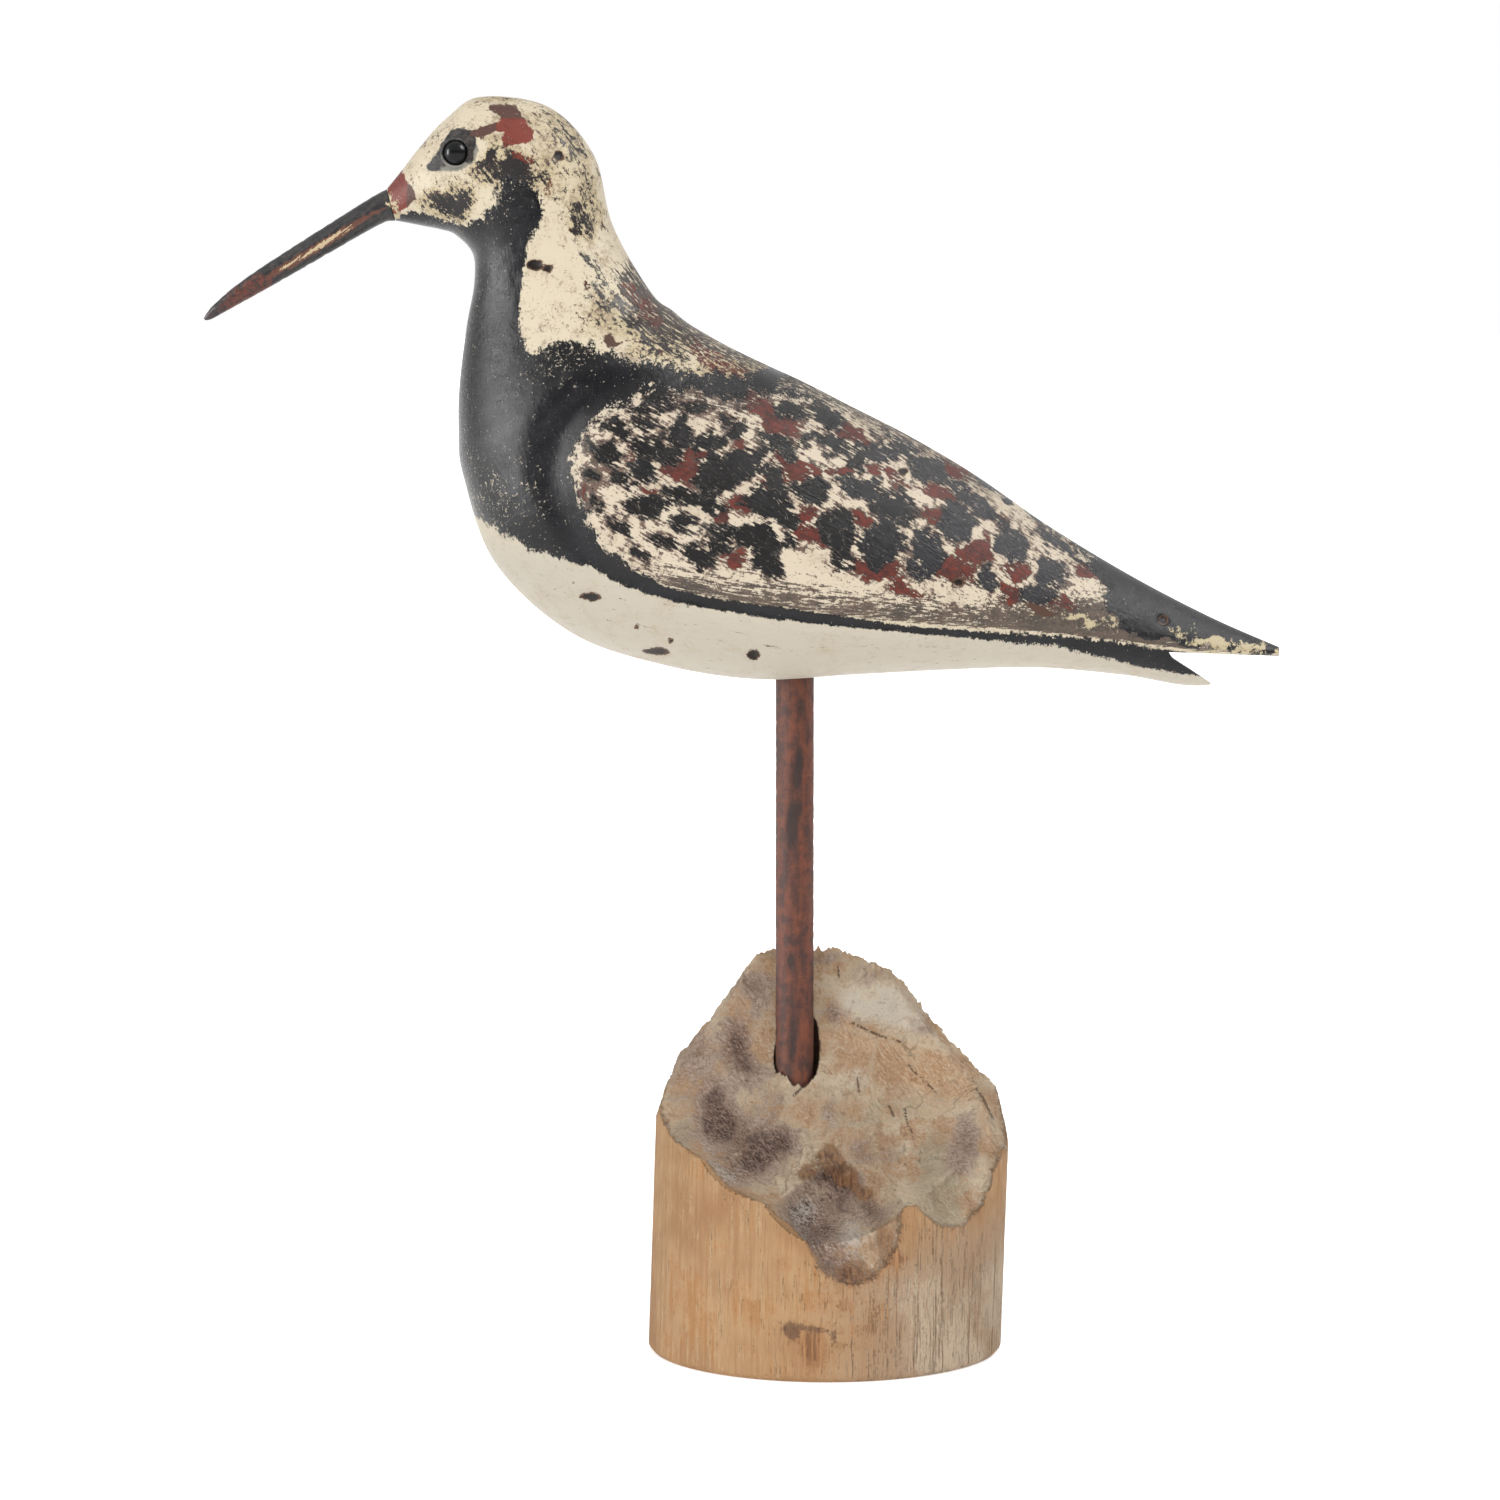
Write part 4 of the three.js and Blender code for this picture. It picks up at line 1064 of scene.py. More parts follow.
class Driftwood(Finish):
    """Bare weathered wood: the noises of its grain, fibres, folds and stains."""

    def __init__(self):
        super().__init__("gnawed_driftwood")
        self.grain = self.drawn(90, 30.0, 1.2, detail=5, roughness=0.7)
        self.pores = self.drawn(90, 6.0, 0.35, detail=4, roughness=0.65, shift=3.0)
        self.fibres = self.drawn(55, 5.0, 0.5, detail=5, roughness=0.75, shift=6.0)
        cross_fibres = self.drawn(12, 4.0, 0.5, detail=5, roughness=0.75, shift=9.0)
        self.cloud = self.noise(18, detail=3, shift=1.0)
        self.patchy = self.noise(7, detail=7, roughness=0.75, shift=2.0)
        self.fuzz = self.noise(0.7, detail=4, roughness=0.75, shift=4.0)
        self.folds = self.noise(11, detail=3, roughness=0.5, shift=14.0)
        # Thin crease lines, sunk a little and darkened in the colour as painted shade
        self.shaded_creases = abs(self.folds + self.fibres * 0.06).rise(0.018, 0.003)
        self.shaded_creases *= (self.patchy + self.cloud).rise(-0.05, 0.15)
        self.matted = self.fibres + cross_fibres * 0.6 + self.fuzz * 0.7
        self.crack = self.read("crack") + self.fuzz * 1.2 + self.patchy * 0.6
        self.weathered = self.read("weathered")
        streaks = self.pores * 1.1 + self.grain * 0.4 + self.fuzz * 0.7 + self.weathered * 0.12
        self.streaks = (streaks + self.patchy * 0.6).rise(0.16, 0.28)


def log_side(f):
    """The tan side, streaked along its grain and greyed to the right."""
    dark_grain = (f.weathered * 0.1 + f.pores * 0.4 + f.grain * 1.1 - f.patchy * 0.3).rise(0.12, 0.28)
    return f.coats(
        f.mix((f.cloud + f.grain * 0.7).rise(-0.2, 0.2), (176, 134, 94), (200, 163, 121)),
        ((f.cloud * 1.2 - f.grain * 0.5 + f.patchy * 1.2).rise(0.02, 0.26) * 0.7, (184, 130, 80)),
        ((f.patchy + f.grain * 0.6 - f.weathered * 0.2).rise(0.02, 0.22) * 0.5, (216, 186, 150)),
        ((f.weathered + f.cloud * 0.8 + f.grain * 0.6).rise(0.25, 0.85) * 0.8, (176, 150, 124)),
        ((f.weathered + f.patchy + f.pores * 1.2 + f.cloud).rise(0.75, 1.1) * 0.7, (208, 190, 166)),
        (dark_grain * 0.6, (116, 86, 62)),
        (f.streaks * 0.42, (108, 82, 62)),
    )


def gnawed_wood(f):
    """Beige wood with olive, torn and whitish patches, faint folds, and thin creases darkened as painted
    shade.
    """
    torn = (f.read("torn") + f.patchy + f.fibres * 0.8 + f.fuzz * 0.6).rise(0.2, 0.5)
    return f.coats(
        f.mix((f.patchy * 1.5 + f.cloud).rise(-0.16, 0.16), (222, 182, 144), (252, 232, 202)),
        ((f.read("olive") + f.patchy * 1.2 + f.cloud).rise(0.2, 0.6) * 0.7, (192, 178, 150)),
        (torn * 0.8, f.mix(f.fibres.rise(-0.1, 0.15), (218, 168, 124), (250, 216, 178))),
        ((f.read("pale") + f.patchy * 0.8 + f.matted * 0.5).rise(0.25, 0.65) * 0.85, (253, 241, 222)),
        (f.matted.rise(0.03, 0.18) * 0.55, (248, 232, 206)),
        ((f.patchy + f.cloud * 0.5).rise(0.02, 0.16) * 0.45, (250, 222, 178)),
        ((f.matted + f.patchy * 0.8).rise(-0.1, -0.3) * 0.6, (138, 106, 84)),
        ((f.folds - f.fuzz * 0.3).rise(0.0, 0.14) * 0.3, (190, 152, 120)),
        # Painted shade in the thin creases
        (f.shaded_creases * 0.4, (132, 100, 80)),
    )


def stained(f, colour):
    """Pale ridges between the bites, partly a painted highlight on their crests; dark stain in the bites,
    partly painted shade in their hollows; and whitish mould.
    """
    ridge = f.read("ridge") + f.fuzz * 3 + f.patchy * 3
    # The stain and its painted shade thin out toward the crests
    stain = f.read("stain") + f.patchy * 1.5 + f.cloud * 0.4 - ridge.rise(1.0, 0.2) * 0.12
    mauve = f.mix((f.matted + f.patchy * 0.8).rise(-0.24, 0.24), (128, 98, 86), (228, 202, 182))
    deep = f.mix(f.matted.rise(-0.12, 0.18), (70, 51, 47), (172, 144, 128))
    return f.coats(
        colour,
        # Pale crests between the bites: partly worn fibres, partly a painted highlight
        (ridge.rise(1.1, 0.1) * 0.5, (240, 218, 188)),
        # Mauve and deep brown where the stain field is high: real stain, and painted shade in the bites'
        # hollows
        ((stain + f.matted * 0.5 + f.patchy * 0.6).rise(0.15, 0.5) * 0.88, mauve),
        ((stain + f.matted * 0.7 + f.patchy * 0.4).rise(0.6, 0.95) * 0.82, deep),
        ((f.read("mould") + f.matted * 1.3 + f.patchy * 0.8 - 0.4).rise(0.0, 0.3) * 0.8, (236, 224, 212)),
    )


def driftwood():
    """Tan sides, a gnawed top with a darker lip, brown wood left standing, a scar, cracks, and the hole's
    wall darkened as painted shade.
    """
    f = Driftwood()
    border = f.read("gnawed") + f.patchy * 4 + f.fibres * 3 + f.fuzz * 2
    gnawed = border.rise(0.0, 0.5)
    lip = border.rise(-0.5, 0.1) * (1 - border.rise(0.3, 1.4))
    brown = (f.read("brown") + f.grain * 0.9 + f.patchy * 1.2 + f.fuzz * 0.4).rise(0.3, 0.6)
    colour = f.coats(
        f.mix(gnawed, log_side(f), stained(f, gnawed_wood(f))),
        (lip * 0.45, (124, 96, 74)),
        (brown * 0.8, f.mix(f.grain.rise(-0.1, 0.1), (124, 84, 58), (190, 140, 96))),
        ((f.read("scar") + f.fuzz * 3 + f.patchy * 3).rise(-0.4, 0.5) * 0.75, (112, 84, 68)),
        ((f.crack - f.matted * 0.6).rise(-0.02, 0.12) * 0.75, (86, 62, 48)),
        # The hole's wall, darkened as painted shade
        (f.read("hole") * 0.85, (60, 42, 32)),
    )
    side_height = f.grain * 0.5 + f.pores * 0.25 - f.streaks * 0.15 + f.fuzz * 0.1
    gnawed_height = f.matted + f.patchy * 2.4 + f.folds * 2.0 - f.shaded_creases * 0.35
    gnawed_height += f.read("ridge").rise(3.0, 0.0) * 0.4
    height = side_height * (1 - gnawed) + gnawed_height * gnawed - f.crack.rise(-0.2, 0.1) * 0.5
    return f.finished(colour, 0.85 + f.fuzz * 0.15, height, specular=0.2)


def bird_rings():
    """The carving's surface as rings of points, with its wings carved proud and its knocks sunk."""
    angle = np.linspace(0, 2 * math.pi, BIRD_POINTS_ROUND, endpoint=False)
    points, half = rib_surface(BIRD_RIBS, evenly(BIRD_RIBS, BIRD_SPACING), angle)
    x, z = points[..., 0], points[..., 2]
    inside, depth, outside, edge = wing_place(x, z)
    rounded = np.minimum(depth, WING_EDGE_DEPTH * along) * (1 - smooth(inside / edge))
    hollow = np.where(inside > 0, rounded, depth * (1 - smooth(-inside / outside)))
    knocks, _ = knock_depth(x / along, z / along)
    flat = points.reshape(-1, 3)
    uneven = (0.1 * waves(flat, 9, 1) + 0.05 * waves(flat, 4, 2)).reshape(x.shape)
    sunk = hollow + knocks + SURFACE_INSET + np.abs(uneven)
    points[..., 1] *= 1 - np.minimum(MOST_HOLLOWED, sunk / np.maximum(half, 1))
    return points


def prism(name, outline, half_depth):
    """A closed cutter from an outline in side view, in hundredths of the bird's length."""
    ring = np.array(outline)[::-1] * along
    rings = np.stack([np.insert(ring, 1, side * half_depth, axis=1) for side in (-1, 1)])
    return skin(name, rings)


def bill_root():
    """The middle of the bill's seat, and the way its root points out of the face."""
    rows = spline(BILL_RIBS, np.array([1.0, 0.7]))
    seat, out = (rows[:, 0:2] + rows[:, 2:4]) / 2 * along
    seat, out = np.array([seat[0], 0, seat[1]]), np.array([out[0], 0, out[1]])
    return seat, (out - seat) / np.linalg.norm(out - seat)


def tenon(name, clearance):
    """The bill's round tenon or, with a clearance, the cutter for its socket."""
    seat, outward = bill_root()
    radius = BILL_TENON_DIAMETER / 2 + clearance
    peg = lathe(name, [(radius, -BILL_TENON_LENGTH - clearance), (radius, TENON_OVERLAP)], 40)
    return stood(peg, seat, outward)


def carved_bird():
    """The carving with its notch, the holes for the rod and the bill, its eye sockets and its paint."""
    bird = skin("painted_bird", bird_rings())
    bore = ROD_RADIUS + CLEARANCE
    cutters = [
        prism("notch_cutter", TAIL_NOTCH, BODY_WIDTH / 2),
        lathe("bore_cutter", [(bore, -20), (bore, ROD_IN_BIRD + CLEARANCE)], 64),
        tenon("socket_cutter", CLEARANCE),
    ]
    carve(bird, cutters)
    for side in ("left_eye", "right_eye"):
        low, high = in_millimetres(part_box(side))
        socket = ball(side + "_socket", EYE_DIAMETER / 2 + CLEARANCE, 0.02)
        stood(socket, (low + high) / 2 - BIRD_AT)
        carve(bird, [socket])
    paint_fields(bird)
    stood(bird, BIRD_AT)
    dress(bird, bird_paint(), 40)
    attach(bird, "root")
    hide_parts("carved_bird")


def jittered(dabs, seed):
    """The same dabs as another hand's stroke would lay them."""
    chance = np.random.default_rng(seed)
    wander = chance.uniform(-0.8, 0.8, (len(dabs), 2))
    return [(d[0] + w[0], d[1] + w[1], *d[2:]) for d, w in zip(dabs, wander)]


class BirdPlaces:
    """Where the carving's points lie, in side view, against the wing's edge and under a wandering brush."""

    def __init__(self, points):
        self.points = points
        self.x, self.z = points[:, 0] / along, points[:, 2] / along
        self.seen = points[:, 1] < 0
        self.drift_x, self.drift_z = self.drift(41), self.drift(51)
        self.wing = wing_place(points[:, 0], points[:, 2])[0]
        self.lower_edge = ramp(self.z, 15, 9) * ramp(self.x, -18, -12)

    def drift(self, seed):
        """How far the brush strays, in hundredths of the bird's length."""
        total = np.zeros(len(self.points))
        for step, (size, amount) in enumerate(DRIFT_SWELLS):
            total += waves(self.points, size, seed + step) * amount
        return total / along

    def under_brush(self, strayed):
        """The points' x and z, strayed by this share of the brush's drift."""
        return self.x + self.drift_x * strayed, self.z + self.drift_z * strayed

    def inside(self, outline, strayed=0.0):
        """How far points lie inside an outline, in millimetres."""
        return inside_by(outline, *self.under_brush(strayed)) * along

    def spots(self, table, strayed=0.0):
        """The soft spots of a table, added up."""
        return soft_spots(table, *self.under_brush(strayed))

    def dabs(self, table, seed):
        """How far points lie inside dabs, which the far side has laid a little differently."""
        near, far = (inside_dabs(laid, *self.under_brush(1)) for laid in (table, jittered(table, seed)))
        return np.where(self.seen, near, far) * along


def black_field(p):
    """How far points lie inside the black of the bib, the rump, the wing's rim and the tail notch. Below
    the wing's edge and under the wing tips this black is partly painted shadow in the groove and the
    recess.
    """
    upper_edge = 1 - p.lower_edge
    inward = RIM_ABOVE * upper_edge * ramp(p.x, 6, -6) + LOWER_RIM_ABOVE * p.lower_edge * ramp(p.x, 12, 0)
    inward = inward - RIM_SETBACK + waves(p.points, 7, 61) * upper_edge
    # Below the wing's edge the rim's black is partly paint, partly painted shadow in the groove
    rim = np.minimum(inward - p.wing, p.wing + np.interp(p.x, *RIM_BELOW))
    rim = np.where(p.z > RIM_TOP, FAR_OUTSIDE, rim)
    # Under the wing tips the black is partly paint, partly painted shadow in the recess
    by_notch = (p.x > NOTCH_BLACK_FROM) & (p.z < NOTCH_BLACK_TOP) & (p.wing < -0.3)
    notch_black_and_shade = np.where(by_notch, np.minimum(p.wing + NOTCH_BLACK_REACH, 2), FAR_OUTSIDE)
    return np.maximum.reduce([p.inside(BIB, 0.5), p.inside(RUMP, 1), rim, notch_black_and_shade])


def ragged_field(p):
    """How ragged the black's edge is: most so along the upper inner edge of the wing's rim."""
    upper_edge = 1 - p.lower_edge
    inner = ramp(np.abs(p.wing - 4.5), 4, 0) * upper_edge
    return 0.22 + 0.18 * upper_edge + 0.8 * inner + p.spots(LOOSE_BLACK)


def bluish_tone_and_sheen_field(p):
    """How bluish and light the black dab nearest to a point is: more so toward the tail, where it is partly
    a painted sheen.
    """
    toward_tail = np.array([ramp(dab[0], 0, 14) for dab in BLACK_DABS])
    blue_tones_and_sheens = np.random.default_rng(37).uniform(0, 0.4, len(BLACK_DABS)) + toward_tail * 0.6
    return blue_tones_and_sheens[nearest_dab(BLACK_DABS, *p.under_brush(1))[1]]


def drybrush_field(p):
    """How much dark paint is brushed over the wing's margin and over the tail."""
    deep = p.wing / along
    margin = ramp(deep, 4.5, 1) * ramp(deep, 0, 0.5) * ramp(p.x, -18, -10)
    return np.clip(margin * 0.85 + p.spots(BRUSHED_TAIL), 0, 1.2) * (p.wing > 0)


def paint_fields(bird):
    """Marks where each paint lies: areas in millimetres inside their edge, and the rest as amounts."""
    p = BirdPlaces(places(bird))
    deep = p.wing / along
    faded_root = ramp(p.x, -26.8, -28.3) * ramp(p.x, -36.5, -35)
    back_band = ramp(p.inside(BACK_BAND) / along, -1.5, 1)
    mark(
        bird,
        belly=ramp(deep, -0.1, -1.1) * ramp(p.z, 18, 10),
        wing=ramp(deep, 0, 1) * ramp(p.z, 30, 26),
        black=black_field(p),
        ragged=ragged_field(p),
        wear=p.spots(WORN_THROUGH),
        dabs=p.dabs(BLACK_DABS, 3),
        dab_tone=bluish_tone_and_sheen_field(p),
        red=p.dabs(RED_DABS, 4),
        nape_red=p.dabs(NAPE_RED, 5),
        smeared=p.spots(SMEARED),
        soot=np.clip(0.02 + 0.16 * ramp(p.z, 38, 44) + p.spots(SOOT, 1), 0, 1.2),
        dry_strokes=p.dabs(DRY_STROKES, 6),
        drybrush=drybrush_field(p),
        streaks=np.clip(p.spots(STREAKED_NAPE) + back_band * 0.85, 0, 1),
        eye_patch=p.inside(EYE_PATCH),
        eye_rim=p.spots(EYE_RIM),
        brick=np.maximum(p.inside(BRICK_PATCH), p.inside(BILL_BASE)),
        faded=faded_root + ramp(p.z, 51.3, 52.3),
        chips=p.dabs(CREAM_CHIPS, 7),
        bare=p.dabs(BARE_STRIPS, 8),
        knocks=knock_depth(p.x, p.z)[1],
    )


def bill():
    """The bill with its tenon, standing off the face by the clearance."""
    t = evenly(BILL_RIBS, BILL_SPACING)
    angle = np.linspace(0, 2 * math.pi, BILL_POINTS_ROUND, endpoint=False)
    points, _ = rib_surface(BILL_RIBS, t, angle)
    flat = points.reshape(-1, 3)
    middle = points.mean(axis=1, keepdims=True)
    uneven = np.abs(0.06 * waves(flat, 5, 11) + 0.04 * waves(flat, 2.2, 12)).reshape(points.shape[:2])
    span = np.linalg.norm(points - middle, axis=-1)
    sunk = (uneven + SURFACE_INSET) * ramp(span, 0, 1.2)
    points = middle + (points - middle) * (1 - sunk / np.maximum(span, 0.2))[..., None]
    piece = skin("let_in_bill", points)
    carve(piece, [tenon("bill_tenon", 0.0)], "UNION")
    seat, outward = bill_root()
    rub_bill(piece, seat)
    stood(piece, BIRD_AT + outward * CLEARANCE)
    dress(piece, bill_paint(), 50)
    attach(piece, "root")
    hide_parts("bill")


def rub_bill(piece, seat):
    """Marks the worn stripe, the red-brown end, the very tip and the pale line at the seat."""
    spots = places(piece)
    rows = spline(BILL_RIBS, np.linspace(0, 1, 200))
    middles = (rows[:, 0:2] + rows[:, 2:4]) / 2 * along
    reach = np.hypot(spots[:, None, 0] - middles[None, :, 0], spots[:, None, 2] - middles[None, :, 1])
    above = spots[:, 2] - middles[reach.argmin(axis=1), 1]
    gone = np.hypot(spots[:, 0] - seat[0], spots[:, 2] - seat[2])
    gone /= gone.max()  # from 0 at the face to 1 at the bill's tip

    def bell(value, middle, width):
        return np.exp(-(((value - middle) / width) ** 2))

    mark(
        piece,
        rub=bell(above, -0.4, 0.8) * bell(gone, 0.38, 0.34),
        tip=bell(above, -0.6, 2.4) * bell(gone, 0.76, 0.16) * 1.15,
        end=ramp(gone, 0.9, 0.98),
        seat=ramp(gone, 0.05, 0),
    )


def eyes():
    """Glass beads, each a little flattened to the front, in rings of putty."""
    glass, grey = bead_glass(), putty()
    for node, side in (("left_eye", -1), ("right_eye", 1)):
        low, high = in_millimetres(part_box(node))
        centre = (low + high) / 2
        bead = ball(node + "_bead", EYE_DIAMETER / 2, 0.03, EYE_FLATNESS)
        stood(bead, centre, (0, side, 0))
        dress(bead, glass, 60)
        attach(bead, "root")
        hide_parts(node)
        ring = putty_ring(node + "_putty")
        stood(ring, centre + np.array([0, side * PUTTY_STANDS_OUT, 0]), (0.02, side, 0.1))
        mark(ring, low=(centre[2] - places(ring)[:, 2]) / EYE_DIAMETER)
        dress(ring, grey, 60)
        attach(ring, "root")


def putty_ring(name):
    """A low uneven ring that beds a bead in its socket."""
    turn = np.linspace(0, 2 * math.pi, 96, endpoint=False)
    section = np.linspace(0, 2 * math.pi, 20, endpoint=False)
    middle, thick, high = EYE_DIAMETER / 2 + 0.22, 0.36, 0.6
    rings = []
    for a in turn:
        swell = 1 + 0.08 * math.sin(3 * a + 1) + 0.05 * math.sin(7 * a)
        radius = middle + thick * swell * np.cos(section)
        height = high * swell * np.sin(section)
        rings.append(np.stack([radius * math.cos(a), radius * math.sin(a), height], -1))
    rings = np.array(rings)
    rows, count = rings.shape[:2]
    faces = []
    for r in range(rows):
        for c in range(count):
            after, beside = (r + 1) % rows, (c + 1) % count
            faces.append([r * count + c, after * count + c, after * count + beside, r * count + beside])
    return to_mesh(name, rings.reshape(-1, 3), faces)


def rod():
    """The rod with chamfered ends, pitted and scaled with rust."""
    length = rod_high[2] - rod_low[2]
    between = np.linspace(ROD_CHAMFER, length - ROD_CHAMFER, ROD_RINGS)
    heights = np.concatenate([[0], between, [length]])
    radii = np.full(len(heights), ROD_RADIUS)
    radii[[0, -1]] -= ROD_CHAMFER
    piece = lathe("rusty_rod", list(zip(radii, heights)), 80)
    spots = places(piece)
    radial = np.hypot(spots[:, 0], spots[:, 1])
    pits = soft_spots(DARK_RUST, np.arctan2(spots[:, 0], -spots[:, 1]), spots[:, 2])
    rough = np.abs(0.07 * waves(spots, 3.5, 21) + 0.04 * waves(spots, 1.8, 22)) + 0.1 * smooth(pits)
    on_side = radial > ROD_RADIUS - 0.1
    scale = np.where(on_side, 1 - (rough + 0.01) / np.maximum(radial, 0.1), 1)
    spots[:, :2] *= scale[:, None]
    piece.data.vertices.foreach_set("co", (spots * MM).ravel())
    mark(piece, pits=pits)
    stood(piece, (ROD_X, 0, rod_low[2]))
    dress(piece, rust(), 60)
    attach(piece, "root")
    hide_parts("stand_rod")


def log_reaches(direction):
    """How far the log reaches from its heart, whole and cut by each bite, in shares of its radius."""
    level = np.hypot(direction[:, 0], direction[:, 1])
    rise = direction[:, 2]
    far = 9.0
    tiny = 1e-6
    foot = LOG_FOOT_ROUNDING / (LOG_DIAMETER / 2)
    side = 1 / np.maximum(level, tiny)
    under = np.where(rise < 0, -LOG_HEART / np.minimum(rise, -tiny), far)
    rounding = np.where(level > rise, (1 - foot + LOG_HEART) / np.maximum(level - rise, tiny), far)
    whole = np.minimum.reduce([side, under, rounding])
    cuts = []
    for toward, lift, reach, scoop in LOG_BITES:
        azimuth, tilt = math.radians(toward), math.radians(lift)
        facing = [math.cos(tilt) * math.cos(azimuth), math.cos(tilt) * math.sin(azimuth), math.sin(tilt)]
        middle = direction @ np.array(facing) * (reach + scoop)
        room = middle**2 - (reach + scoop) ** 2 + scoop**2
        cuts.append(np.where((room > 0) & (middle > 0), middle - np.sqrt(np.maximum(room, 0)), far))
    return whole, np.array(cuts)


def facing_back(rings):
    """How far a surface of rings faces away from the camera, from -1 to 1, and 0 at its two ends."""
    up = np.gradient(rings, axis=0)
    round_it = (np.roll(rings, -1, axis=1) - np.roll(rings, 1, axis=1)) / 2
    normal = np.cross(up, round_it)
    back = normal[..., 1] / np.maximum(np.linalg.norm(normal, axis=-1), 1e-9)
    return np.append(back.ravel(), [0, 0])


def log_directions():
    """The ways from the log's heart to its points, as rings from the underside to the crest."""
    turn = np.linspace(0, 2 * math.pi, LOG_POINTS_ROUND, endpoint=False)
    foot = math.atan2(1, LOG_HEART)
    underside = np.linspace(0.02, foot - 0.04, 10)
    above = np.linspace(foot - 0.02, math.pi - 0.01, LOG_RINGS)
    a, lift = np.meshgrid(turn, np.concatenate([underside, above]) - math.pi / 2)
    return np.stack([np.cos(lift) * np.cos(a), -np.cos(lift) * np.sin(a), np.sin(lift)], -1)


def torn_depth(raw, gnawed, ridge):
    """How far the surface is sunk: by teeth and torn fibres where it is gnawed, elsewhere by its grain."""
    tooth = np.abs(waves(raw * [1, 1, 0.5], 5, 31)) * 0.5 + np.abs(waves(raw * [1, 1, 0.4], 2.0, 32)) * 0.35
    tooth += 0.6 * ramp(ridge, 2, 0) * np.abs(waves(raw, 1.6, 34))
    tooth += 0.9 * ramp(ridge, 0, 5)
    grain = np.abs(waves(raw * [1, 1, 0.12], 2.4, 33)) * 0.12
    torn = ramp(gnawed, 0, 1.5)
    return (torn * tooth + (1 - torn) * grain + SURFACE_INSET) * smooth(raw[:, 2])


def gnawed_log():
    """The log's stub: a round log bitten to its crest, with fibres torn and a drilled hole for the rod."""
    radius = LOG_DIAMETER / 2
    heart = np.array([0, 0, LOG_HEART * radius])
    rings = log_directions()
    direction = rings.reshape(-1, 3)
    whole, cuts = log_reaches(direction)
    bitten, next_bite = np.sort(cuts, axis=0)[:2]
    reach = np.minimum(whole, bitten) * radius
    gnawed = (whole - bitten) * radius
    ridge = (np.minimum(next_bite, whole) - bitten) * radius
    raw = direction * reach[:, None] + heart
    solid = direction * (reach - torn_depth(raw, gnawed, ridge))[:, None] + heart
    solid[:, 2] *= LOG_HEIGHT / raw[:, 2].max()
    solid[:, 0] += solid[:, 2] * LOG_LEAN / LOG_HEIGHT
    piece = skin("gnawed_log", solid.reshape(rings.shape))
    log_fields(piece, facing_back(raw.reshape(rings.shape)), gnawed, ridge)
    drill(piece)
    dress(piece, driftwood(), 55)
    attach(piece, "root")
    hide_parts("driftwood_base")


def log_fields(piece, back, gnawed, ridge):
    """Marks the gnawed wood, in millimetres from its border and ridges, and the amounts of its patches."""
    spots = places(piece)
    x, z = spots[:, 0], spots[:, 2]
    turned_away = ramp(back, -0.1, 0.25)

    def on_both(field, table):
        """A field as it is drawn on the seen side, and drawn again on the far side, turned end for end."""
        return field(table, x, z) * (1 - turned_away) + field(table, FAR_SIDE_MIRROR * x, z) * turned_away

    mark(
        piece,
        gnawed=np.append(gnawed, [FAR_OUTSIDE, -FAR_OUTSIDE]),
        ridge=np.append(np.where(gnawed > 0, ridge, -FAR_OUTSIDE), [-FAR_OUTSIDE] * 2),
        stain=on_both(soft_spots, STAINS_AND_HOLLOW_SHADE),
        olive=on_both(soft_spots, OLIVE_PATCHES),
        pale=on_both(soft_spots, PALE_PATCHES),
        mould=on_both(soft_spots, MOULD),
        torn=on_both(soft_spots, TORN_FIBRES),
        brown=on_both(soft_spots, BROWN_PATCHES),
        scar=on_both(inside_dabs, SCAR),
        crack=CRACK_HALF_WIDTH - on_both(off_lines, CRACKS),
        weathered=ramp(x, -27, 33) * ramp(z, 60, 15),
    )


def drill(piece):
    """Drills the log's hole for the rod, and marks the hole's wall, which the wood's colour darkens as
    painted shade.
    """
    radius, middle = ROD_HOLE_DIAMETER / 2, ROD_X + ROD_HOLE_SHIFT
    hole = lathe("hole_cutter", [(radius, ROD_HOLE_FLOOR), (radius, ABOVE_LOG)], 64)
    stood(hole, (middle, 0, 0))
    carve(piece, [hole])
    spots = places(piece)
    away = np.hypot(spots[:, 0] - middle, spots[:, 1])
    mark(piece, hole=(away < radius + 0.2) & (spots[:, 2] > ROD_HOLE_FLOOR - 1))


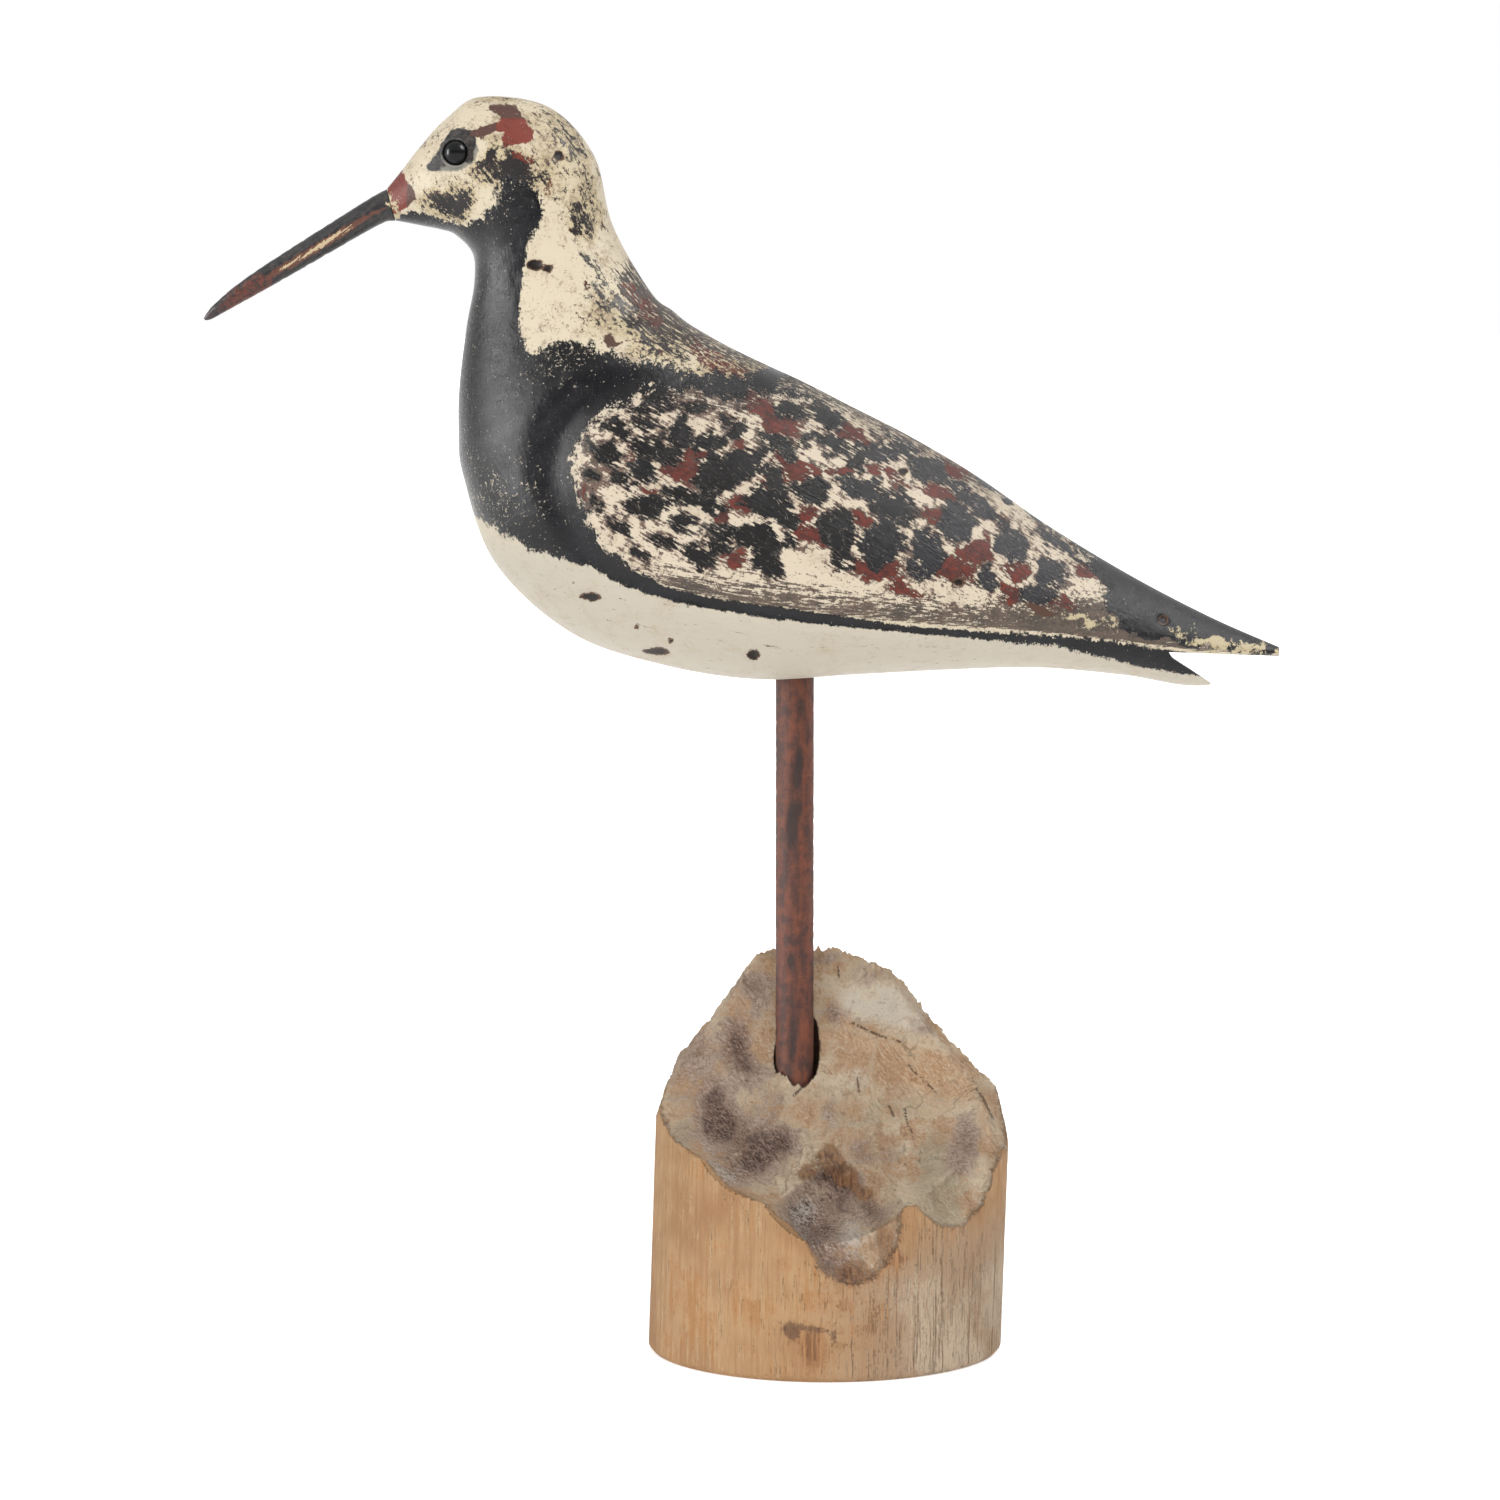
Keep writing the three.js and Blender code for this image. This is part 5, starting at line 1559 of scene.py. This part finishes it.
def studio():
    """A pale floor, an even white surround and soft lights, as in the photograph."""
    bpy.ops.mesh.primitive_circle_add(vertices=96, radius=40, fill_type="NGON")
    floor = bpy.context.object
    floor.name = "floor"
    pale = Finish("pale_floor")
    settings = {
        "Base Color": (0.86, 0.86, 0.86, 1),
        "Roughness": 0.9,
        "Emission Color": WHITE,
        "Emission Strength": 0.5,
    }
    for name, value in settings.items():
        pale.feed(pale.shader.inputs[name], value)
    floor.data.materials.append(pale.material)

    white_surround()
    for name, spot, wide, high, power in SOFTBOXES:
        softbox = lamp(name, "AREA", spot, power)
        softbox.data.shape = "RECTANGLE"
        softbox.data.size, softbox.data.size_y = wide, high
        softbox.visible_diffuse = False
    fill = lamp("fill_light", "SUN", FILL_FROM, FILL_LIGHT)
    fill.data.angle = math.radians(FILL_SPREAD)
    fill.visible_glossy = False


def white_surround():
    """White behind the bird, dimmer on the camera's side and a little dimmer overhead."""
    world = bpy.data.worlds.new("white_surround")
    sky = Wiring(world)
    surround = sky.nodes["Background"]
    toward = sky.node("ShaderNodeTexCoord", {}, {}, "Generated")
    height = sky.node("ShaderNodeSeparateXYZ", {}, {0: toward}, "Z")
    behind = sky.node("ShaderNodeSeparateXYZ", {}, {0: toward}, "Y")
    level = behind.rise(-0.3, 0.7) * (1.0 - FRONT_LIGHT) + FRONT_LIGHT
    low = height.rise(0.6, 0.1)
    sky.feed(surround.inputs["Color"], WHITE)
    sky.feed(surround.inputs["Strength"], level * low + (1 - low) * OVERHEAD_LIGHT)
    bpy.context.scene.world = world


def lamp(name, kind, spot, power):
    """A light that points at the decoy."""
    light = bpy.data.lights.new(name, kind)
    light.energy = power
    holder = bpy.data.objects.new(name, light)
    holder.location = spot
    holder.rotation_euler = (Vector(LAMPS_AIM) - Vector(spot)).to_track_quat("-Z", "Y").to_euler()
    bpy.context.scene.collection.objects.link(holder)
    return holder


def camera():
    """The photograph's view: a long lens a little above the bird, tipped down."""
    lens = bpy.data.cameras.new("photo_lens")
    lens.lens, lens.sensor_width = LENS_LENGTH, SENSOR_WIDTH
    lens.clip_end = 100
    holder = bpy.data.objects.new("photo_camera", lens)
    holder.location = Vector(CAMERA_AT) * MM
    holder.rotation_euler = (math.radians(90 - CAMERA_TILT), 0, 0)
    bpy.context.scene.collection.objects.link(holder)
    bpy.context.scene.camera = holder
    bpy.context.scene.view_settings.view_transform = "Standard"


camera()
studio()
carved_bird()
bill()
eyes()
rod()
gnawed_log()
